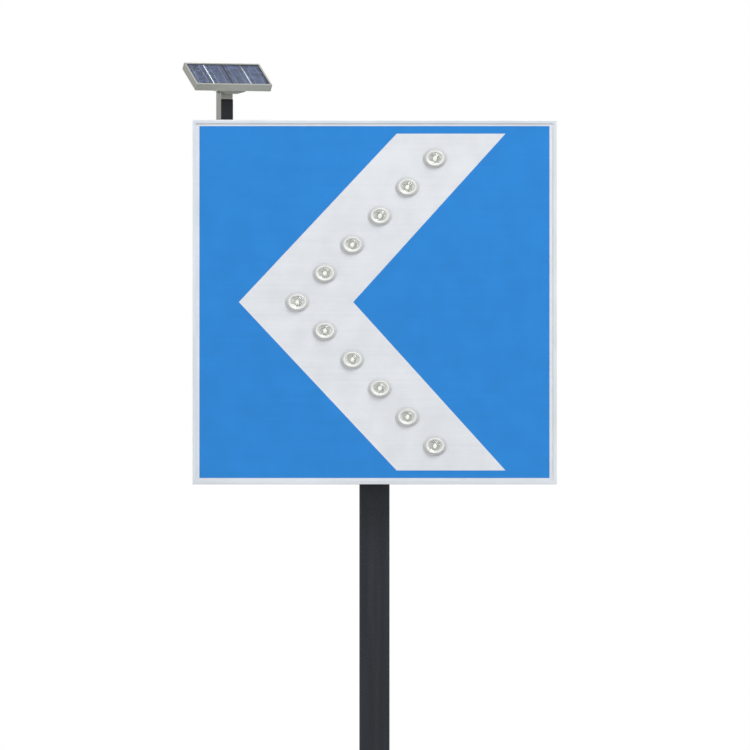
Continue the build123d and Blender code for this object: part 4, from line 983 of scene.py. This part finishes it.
class SIGN_OT_lamps(bpy.types.Operator):
    """Moulds the lamp bezels, lenses and LEDs, and finishes what holds them"""

    bl_idname = "sign.lamps"
    bl_label = "Lamps"

    def execute(self, context):
        looks = context.scene.sign_face
        base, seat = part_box("lamp_gaskets")[0].y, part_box("lamp_lenses")[1].y
        lamps = list(zip(solids("lamp_bezels"), solids("lamp_lenses"), solids("lamp_emitters")))
        if len(lamps) != 11:
            raise RuntimeError("the sign has eleven lamps")
        bezels, lenses, leds = [], [], []
        for bezel, lens, emitter in lamps:
            spot, glass = middle(bezel), halves(lens)
            place = at((spot.x, base, spot.z), FACE)
            for shape, finish in lamp_ring(halves(bezel), glass, base - bezel[0].y, base - bezel[1].y):
                bezels.append((shape, place, finish))
            shape = lamp_lens(glass, seat - lens[0].y, looks.lens_rings, looks.ring_step)
            lenses.append((shape, at((spot.x, seat, spot.z), FACE), lens_polycarbonate()))
            floor = emitter[1].y - CUP_FLOOR
            place = at((spot.x, floor, spot.z), FACE)
            for shape, finish in lamp_led(halves(emitter)[0], floor - seat - CUP_PLAY):
                leds.append((shape, place, finish))
        piece("lamp_bezels_moulded", bezels, "sign_post", "lamp_bezel", "lamp_bezels")
        piece("lamp_lenses_moulded", lenses, "sign_post", "lamp_lens", "lamp_lenses")
        piece("lamp_leds", leds, "sign_post", "lamp_emitter", "lamp_emitters")
        dress(rubber(), "lamp_gaskets")
        dress(nylon(), "lamp_nuts")
        dress(solder_mask(), "lamp_boards")
        return {"FINISHED"}


class SIGN_OT_back(bpy.types.Operator):
    """Finishes the back of the box with its seal, screws and rivets"""

    bl_idname = "sign.back"
    bl_label = "Back"

    def execute(self, context):
        dress(rolled_aluminium(), "back_plate")
        dress(rubber(), "back_seal")
        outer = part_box("back_plate")[1].y
        screws = []
        for box in solids("back_screws"):
            spot = middle(box)
            radius, height = halves(box)[0], box[1].y - outer
            place = at((spot.x, outer, spot.z), BACK @ tightened(spot, 40, 70))
            head = cross_head(radius, height)
            core, tip = 0.45 * radius, box[0].y - outer
            shank = turned([(core, 0.1 * MM), (core, tip + MM), (0, tip)], 24)
            screws += [(head, place, zinc_plate()), (shank, place, zinc_plate())]
        piece("back_screws_turned", screws, "sign_post", "zinc_steel", "back_screws")
        rivets = []
        for box in solids("body_rivets"):
            spot = middle(box)
            head = rivet(halves(box)[0], RIVET_RISE, box[0].y - box[1].y + RIVET_RISE)
            place = at((spot.x, box[1].y - RIVET_RISE, spot.z), BACK)
            rivets.append((head, place, mill_aluminium()))
        piece("body_rivets_set", rivets, "sign_post", "rail_aluminium", "body_rivets")
        return {"FINISHED"}


class SIGN_OT_clamps(bpy.types.Operator):
    """Finishes the rails and the straps, and threads the clamp bolts"""

    bl_idname = "sign.clamps"
    bl_label = "Clamps"

    def execute(self, context):
        pitch = context.scene.sign_metal.thread_pitch
        dress(mill_aluminium(), "mounting_rail_upper", "mounting_rail_lower")
        soften(0.4 * MM, "mounting_rail_upper", "mounting_rail_lower")
        dress(galvanised_steel(), "clamp_straps")
        soften(0.5 * MM, "clamp_straps")
        bolts, nuts = [], []
        for box in solids("clamp_bolts"):
            spot, head = middle(box), 5 * MM
            size = (box[1].x - box[0].x, box[1].z - box[0].z, head)
            place = at((spot.x, box[0].y, spot.z), BACK)
            bolts.append((block(size, 0.6 * MM), place @ at((0, 0, head / 2)), zinc_plate()))
            shank = thread(M10_RADIUS, pitch, head - MM, box[1].y - box[0].y)
            bolts.append((shank, place, zinc_plate()))
        for box in solids("clamp_nuts"):
            spot, disc = middle(box), 2 * MM
            radius = halves(box)[0]
            place = at((spot.x, box[0].y, spot.z), BACK)
            washer = [(M10_BORE, 0.0), (radius - 0.2 * MM, 0.0), (radius, 0.2 * MM),
                      (radius, disc - 0.3 * MM), (radius - 0.3 * MM, disc), (M10_BORE, disc)]
            nuts.append((turned(washer, 56, True), place, zinc_plate()))
            nut = hexagon(M10_FLATS, box[1].y - box[0].y - disc, True)
            turn = at((0, 0, disc), tightened(spot, 31, 17))
            nuts.append((nut, place @ turn, zinc_plate()))
        piece("clamp_bolts_threaded", bolts, "sign_post", "zinc_steel", "clamp_bolts")
        piece("clamp_nuts_and_washers", nuts, "sign_post", "zinc_steel", "clamp_nuts")
        return {"FINISHED"}


class SIGN_OT_door(bpy.types.Operator):
    """Finishes the service door with its hinge and lock, and the power switch"""

    bl_idname = "sign.door"
    bl_label = "Door and switch"

    def execute(self, context):
        dress(rolled_aluminium(), "door_panel")
        soften(0.5 * MM, "door_panel")
        dress(rubber(), "door_gasket")
        dress(zinc_plate(), "body_hinge_leaf", "door_hinge_leaf", "hinge_pin")
        soften(0.3 * MM, "body_hinge_leaf", "door_hinge_leaf")
        low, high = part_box("door_hinge_leaf")
        inset, ends = 7.5 * MM, 25 * MM
        rivets = []
        for height in (low.z + ends, high.z - ends):
            place = at((low.x + inset, high.y, height), BACK)
            rivets.append((rivet(4 * MM, RIVET_RISE, 0.0), place, mill_aluminium()))
        piece("door_leaf_rivets", rivets, "service_door", "rail_aluminium")
        dress(chromed_zinc(), "door_lock")
        dress(black_abs(), "switch_body", "switch_rocker")
        soften(0.4 * MM, "switch_rocker")
        return {"FINISHED"}


class SIGN_OT_equipment(bpy.types.Operator):
    """Fits out the tray behind the door with cells and a dressed controller board"""

    bl_idname = "sign.equipment"
    bl_label = "Equipment"

    def execute(self, context):
        dress(rolled_aluminium(), "equipment_tray")
        dress(nylon(), "standoffs")
        dress(black_abs(), "battery_holder")
        dress(solder_mask(), "controller_board")
        cells = []
        for number, box in enumerate(solids("battery_cells")):
            radius, tall = halves(box)[0], box[1].z - box[0].z
            turn = Matrix.Rotation(math.pi * (number % 2), 4, "X")
            place = at(middle(box), turn) @ at((0, 0, -tall / 2))
            can = [(0, 0.0), (0.8, 0.0), (0.86, 0.006), (0.96, 0.006), (1.0, 0.014), (1.0, 0.93),
                   (0.975, 0.94), (0.975, 0.95), (1.0, 0.96), (1.0, 0.975), (0.9, 0.982),
                   (0.72, 0.982), (0, 0.98)]
            cells.append((turned(scaled(can, radius, tall)), place, cell_sleeve()))
            cap = [(0, 0.975), (0.45, 0.975), (0.45, 0.994), (0.4, 1.0), (0, 1.0)]
            cells.append((turned(scaled(cap, radius, tall), 40), place, battery_tin()))
        piece("battery_cells_sleeved", cells, "sign_post", "battery_wrap", "battery_cells")

        parts = []
        for box in solids("controller_parts"):
            size, spot, rear = box[1] - box[0], middle(box), box[0].y
            place = at((spot.x, rear, spot.z), BACK)
            # Capacitors stand taller than wide, the chip lies flat, and the rest is a terminal strip
            if size.y > 1.05 * size.x:
                can = [(0, 0.0), (0.96, 0.0), (1.0, 0.03), (1.0, 0.12), (0.94, 0.15), (0.94, 0.19),
                       (1.0, 0.22), (1.0, 0.96), (0.94, 1.0), (0.8, 1.0), (0.78, 0.985), (0, 0.985)]
                parts.append((turned(scaled(can, size.x / 2, size.y), 40), place, black_pvc_and_shade()))
            elif size.y < 4 * MM:
                body = block((size.x - 2 * MM, size.z - 2 * MM, size.y - 0.3 * MM), 0.2 * MM)
                lift = at((0, 0, size.y / 2 + 0.15 * MM))
                parts.append((body, place @ lift, black_abs()))
                for row in range(32):
                    side, step = row // 8, (row % 8 - 3.5) * 1.27 * MM
                    spin = Matrix.Rotation(TURN * side / 4, 4, "Z")
                    lift = at((step, size.x / 2 - 0.7 * MM, 0.5 * MM))
                    leg = block((0.5 * MM, 1.4 * MM, 0.9 * MM), 0.15 * MM)
                    parts.append((leg, place @ spin @ lift, tinned_copper()))
            else:
                lift = at((0, 0, size.y / 2))
                parts.append((block((size.x, size.z, size.y), 0.5 * MM), place @ lift, black_abs()))
                for way in range(6):
                    step = (way - 2.5) * size.x / 6.4
                    screw = cross_head(1.9 * MM, 0.8 * MM, 1.3 / 1.9, 0.5 / 0.8)
                    lift = at((step, 0, size.y - 0.75 * MM))
                    parts.append((screw, place @ lift, zinc_plate()))
        piece("controller_parts_fitted", parts, "sign_post", "controller_parts", "controller_parts")

        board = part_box("controller_board")
        small = []
        for row in range(5):
            for line in range(4):
                x = board[0].x + (7 + 3.4 * row) * MM
                z = board[0].z + (18 + 6.5 * line) * MM
                place = at((x, board[1].y + 0.35 * MM, z), BACK)
                small.append((block((2 * MM, 1.25 * MM, 0.7 * MM), 0.1 * MM), place, black_abs()))
                for side in (-0.85 * MM, 0.85 * MM):
                    end = block((0.4 * MM, 1.3 * MM, 0.74 * MM), 0.08 * MM)
                    small.append((end, place @ at((side, 0, 0)), tinned_copper()))
        piece("controller_surface_parts", small, "sign_post", "controller_parts")
        return {"FINISHED"}


class SIGN_OT_mast(bpy.types.Operator):
    """Finishes the mast, its foot and its fasteners"""

    bl_idname = "sign.mast"
    bl_label = "Solar mast"

    def execute(self, context):
        dress(galvanised_steel(), "mast_foot", "mast_spigot", "mast_channel")
        soften(0.5 * MM, "mast_foot", "mast_channel")
        # The near-black cover is painted shade: it stands for the dark inside of the mast's open
        # channel.
        dress(black_pvc_and_shade(), "mast_cover")
        dress(rubber(), "lead_grommet")
        screws = []
        for box in solids("foot_screws"):
            spot, flats = middle(box), box[1].z - box[0].z
            head = 3.5 * MM
            place = at((spot.x, box[1].y - head, spot.z), BACK @ tightened(spot, 0, 90))
            screws.append((hexagon(flats, head), place, zinc_plate()))
            tail = box[0].y - box[1].y + head
            rings = [(0, tail), (2.2 * MM, tail), (M6_CORE, tail + MM), (M6_CORE, 0.2 * MM),
                     (0, 0.3 * MM)]
            screws.append((turned(rings, 24), place, zinc_plate()))
        piece("foot_screws_hexagon", screws, "sign_post", "zinc_steel", "foot_screws")

        box = solids("swivel_lock_bolt")[0]
        spot, flats, head = middle(box), box[1].z - box[0].z, 4 * MM
        place = at((spot.x, box[1].y - head, spot.z), BACK)
        tail = box[0].y - box[1].y + head
        rings = [(0, 0.3 * MM), (M6_CORE, 0.2 * MM), (M6_CORE, tail), (0, tail)]
        bolt = [(shape, place, zinc_plate()) for shape in (hexagon(flats, head), turned(rings, 24))]
        piece("swivel_lock_bolt_hexagon", bolt, "sign_post", "zinc_steel", "swivel_lock_bolt")
        dress(zinc_plate(), "tilt_fasteners")
        return {"FINISHED"}


class SIGN_OT_panel(bpy.types.Operator):
    """Dresses the solar panel: frame, glass, cells with ribbons, cradle and junction box"""

    bl_idname = "sign.panel"
    bl_label = "Solar panel"

    def execute(self, context):
        looks = context.scene.sign_solar
        axes = panel_axes()
        dress(cradle_paint(), "panel_cradle")
        soften(0.5 * MM, "panel_cradle")
        dress(weathered_aluminium(), "panel_frame")
        dress(solar_glass(), "panel_glass")
        dress(silicon(), "panel_cells")
        swell(0.06 * MM, "panel_cells")
        dress(backsheet_film(), "panel_backsheet")
        dress(black_abs(), "junction_box", "junction_gland")
        soften(0.5 * MM, "junction_box")
        cells = solids("panel_cells", axes)
        ribbons = []
        for low, high in cells:
            for share in (0.25, 0.75):
                spot = Vector((low.x + share * (high.x - low.x), (low.y + high.y) / 2, high.z))
                size = (looks.ribbon, high.y - low.y, 0.12 * MM)
                ribbons.append((block(size, 0.03 * MM), axes @ at(spot), tinned_ribbon()))
        # Black insulation hides the middle gap between the cells, and a wide ribbon the next one
        for before, finish in ((1, black_pvc_and_shade()), (2, tinned_copper())):
            left, right = cells[before][1], cells[before + 1][0]
            spot = (left + right) / 2
            spot.z = left.z
            size = (right.x - left.x + 0.6 * MM, left.y - right.y, 0.12 * MM)
            ribbons.append((block(size, 0.03 * MM), axes @ at(spot), finish))
        piece("cell_ribbons", ribbons, "solar_panel", "solar_cell")

        screws = []
        for box in solids("cradle_screws", axes):
            spot = middle(box)
            radius, head = halves(box)[0], 1.6 * MM
            place = axes @ at((spot.x, spot.y, box[0].z + head)) @ Matrix.Rotation(math.pi, 4, "X")
            screws.append((cross_head(radius, head), place, zinc_plate()))
            tail = head - (box[1].z - box[0].z)
            rings = [(0, tail), (0.5 * radius, tail), (0.5 * radius, 0.1 * MM), (0, 0.2 * MM)]
            screws.append((turned(rings, 20), place, zinc_plate()))
        piece("cradle_screws_turned", screws, "solar_panel", "zinc_steel", "cradle_screws")
        return {"FINISHED"}


class SIGN_OT_stage(bpy.types.Operator):
    """Sets the pale floor, the soft lamps, the white room and the camera"""

    bl_idname = "sign.stage"
    bl_label = "Floor, light and camera"

    def execute(self, context):
        scene, looks = context.scene, context.scene.sign_stage
        scene.view_settings.view_transform = "Standard"

        # The floor is a disc that reaches well behind the camera
        mesh = bpy.data.meshes.new("floor")
        shape = bmesh.new()
        bmesh.ops.create_circle(shape, cap_ends=True, segments=96, radius=30.0)
        shape.to_mesh(mesh)
        shape.free()
        mesh.materials.append(floor_paint())
        floor = bpy.data.objects.new("floor", mesh)
        scene.collection.objects.link(floor)

        world = bpy.data.worlds.new("white room")
        world.use_nodes = True
        scene.world = world
        tree = world.node_tree
        sight = in_sight(tree)
        level = add(tree, "MapRange", {"Value": sight, "To Min": looks.ambient, "To Max": 1.0})[0]
        room = tree.nodes["Background"]
        room.inputs["Color"].default_value = (1, 1, 1, 1)
        tree.links.new(level, room.inputs["Strength"])

        # Name, power, place and size of each lamp; all point near the middle of the board
        aim = Vector((0, -0.05, 1.4))
        lamps = [
            ("key", looks.key, (1.7, -3.0, 5.0), 2.6),
            ("fill", looks.fill, (-3.6, -3.0, 2.2), 3.0),
            ("rear", looks.rear, (1.6, 3.6, 3.8), 5.0),
        ]
        for name, watts, spot, size in lamps:
            light = bpy.data.lights.new(name, "AREA")
            light.energy = watts
            light.size = size
            lamp = bpy.data.objects.new(name, light)
            lamp.location = spot
            lamp.rotation_mode = "QUATERNION"
            lamp.rotation_quaternion = (aim - Vector(spot)).to_track_quat("-Z", "Y")
            scene.collection.objects.link(lamp)

        lens = bpy.data.cameras.new("camera")
        lens.sensor_width = 36
        lens.lens = lens.sensor_width * looks.distance / looks.view_width
        camera = bpy.data.objects.new("camera", lens)
        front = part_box("frame_top")[0].y
        camera.location = (looks.view_side, front - looks.distance, looks.view_height)
        camera.rotation_euler = (math.pi / 2, 0, 0)
        scene.collection.objects.link(camera)
        scene.camera = camera
        return {"FINISHED"}


class SIGN_PT_looks(bpy.types.Panel):
    """Lists the sign's groups of pieces and their settings"""

    bl_label = "Chevron sign"
    bl_idname = "SIGN_PT_looks"
    bl_space_type = "VIEW_3D"
    bl_region_type = "UI"
    bl_category = "Chevron sign"

    def draw(self, context):
        for step in STEPS:
            self.layout.operator(step.bl_idname)
        for name, group in SETTINGS.items():
            held = getattr(context.scene, name)
            for key in group.__annotations__:
                self.layout.prop(held, key)


SETTINGS = {
    "sign_face": SignFaceLooks,
    "sign_metal": SignMetalLooks,
    "sign_solar": SignSolarLooks,
    "sign_stage": SignStageLooks,
}
STEPS = (
    SIGN_OT_post,
    SIGN_OT_frame,
    SIGN_OT_sheeting,
    SIGN_OT_lamps,
    SIGN_OT_back,
    SIGN_OT_clamps,
    SIGN_OT_door,
    SIGN_OT_equipment,
    SIGN_OT_mast,
    SIGN_OT_panel,
    SIGN_OT_stage,
)


def register():
    """Registers the settings, the operators and the panel."""
    for name, group in SETTINGS.items():
        bpy.utils.register_class(group)
        setattr(bpy.types.Scene, name, PointerProperty(type=group))
    for step in STEPS:
        bpy.utils.register_class(step)
    bpy.utils.register_class(SIGN_PT_looks)


def unregister():
    """Takes the panel, the operators and the settings away again."""
    bpy.utils.unregister_class(SIGN_PT_looks)
    for step in reversed(STEPS):
        bpy.utils.unregister_class(step)
    for name, group in SETTINGS.items():
        delattr(bpy.types.Scene, name)
        bpy.utils.unregister_class(group)


def main():
    """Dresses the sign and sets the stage."""
    register()
    bpy.ops.sign.post()
    bpy.ops.sign.frame()
    bpy.ops.sign.sheeting()
    bpy.ops.sign.lamps()
    bpy.ops.sign.back()
    bpy.ops.sign.clamps()
    bpy.ops.sign.door()
    bpy.ops.sign.equipment()
    bpy.ops.sign.mast()
    bpy.ops.sign.panel()
    bpy.ops.sign.stage()


if __name__ == "__main__":
    main()
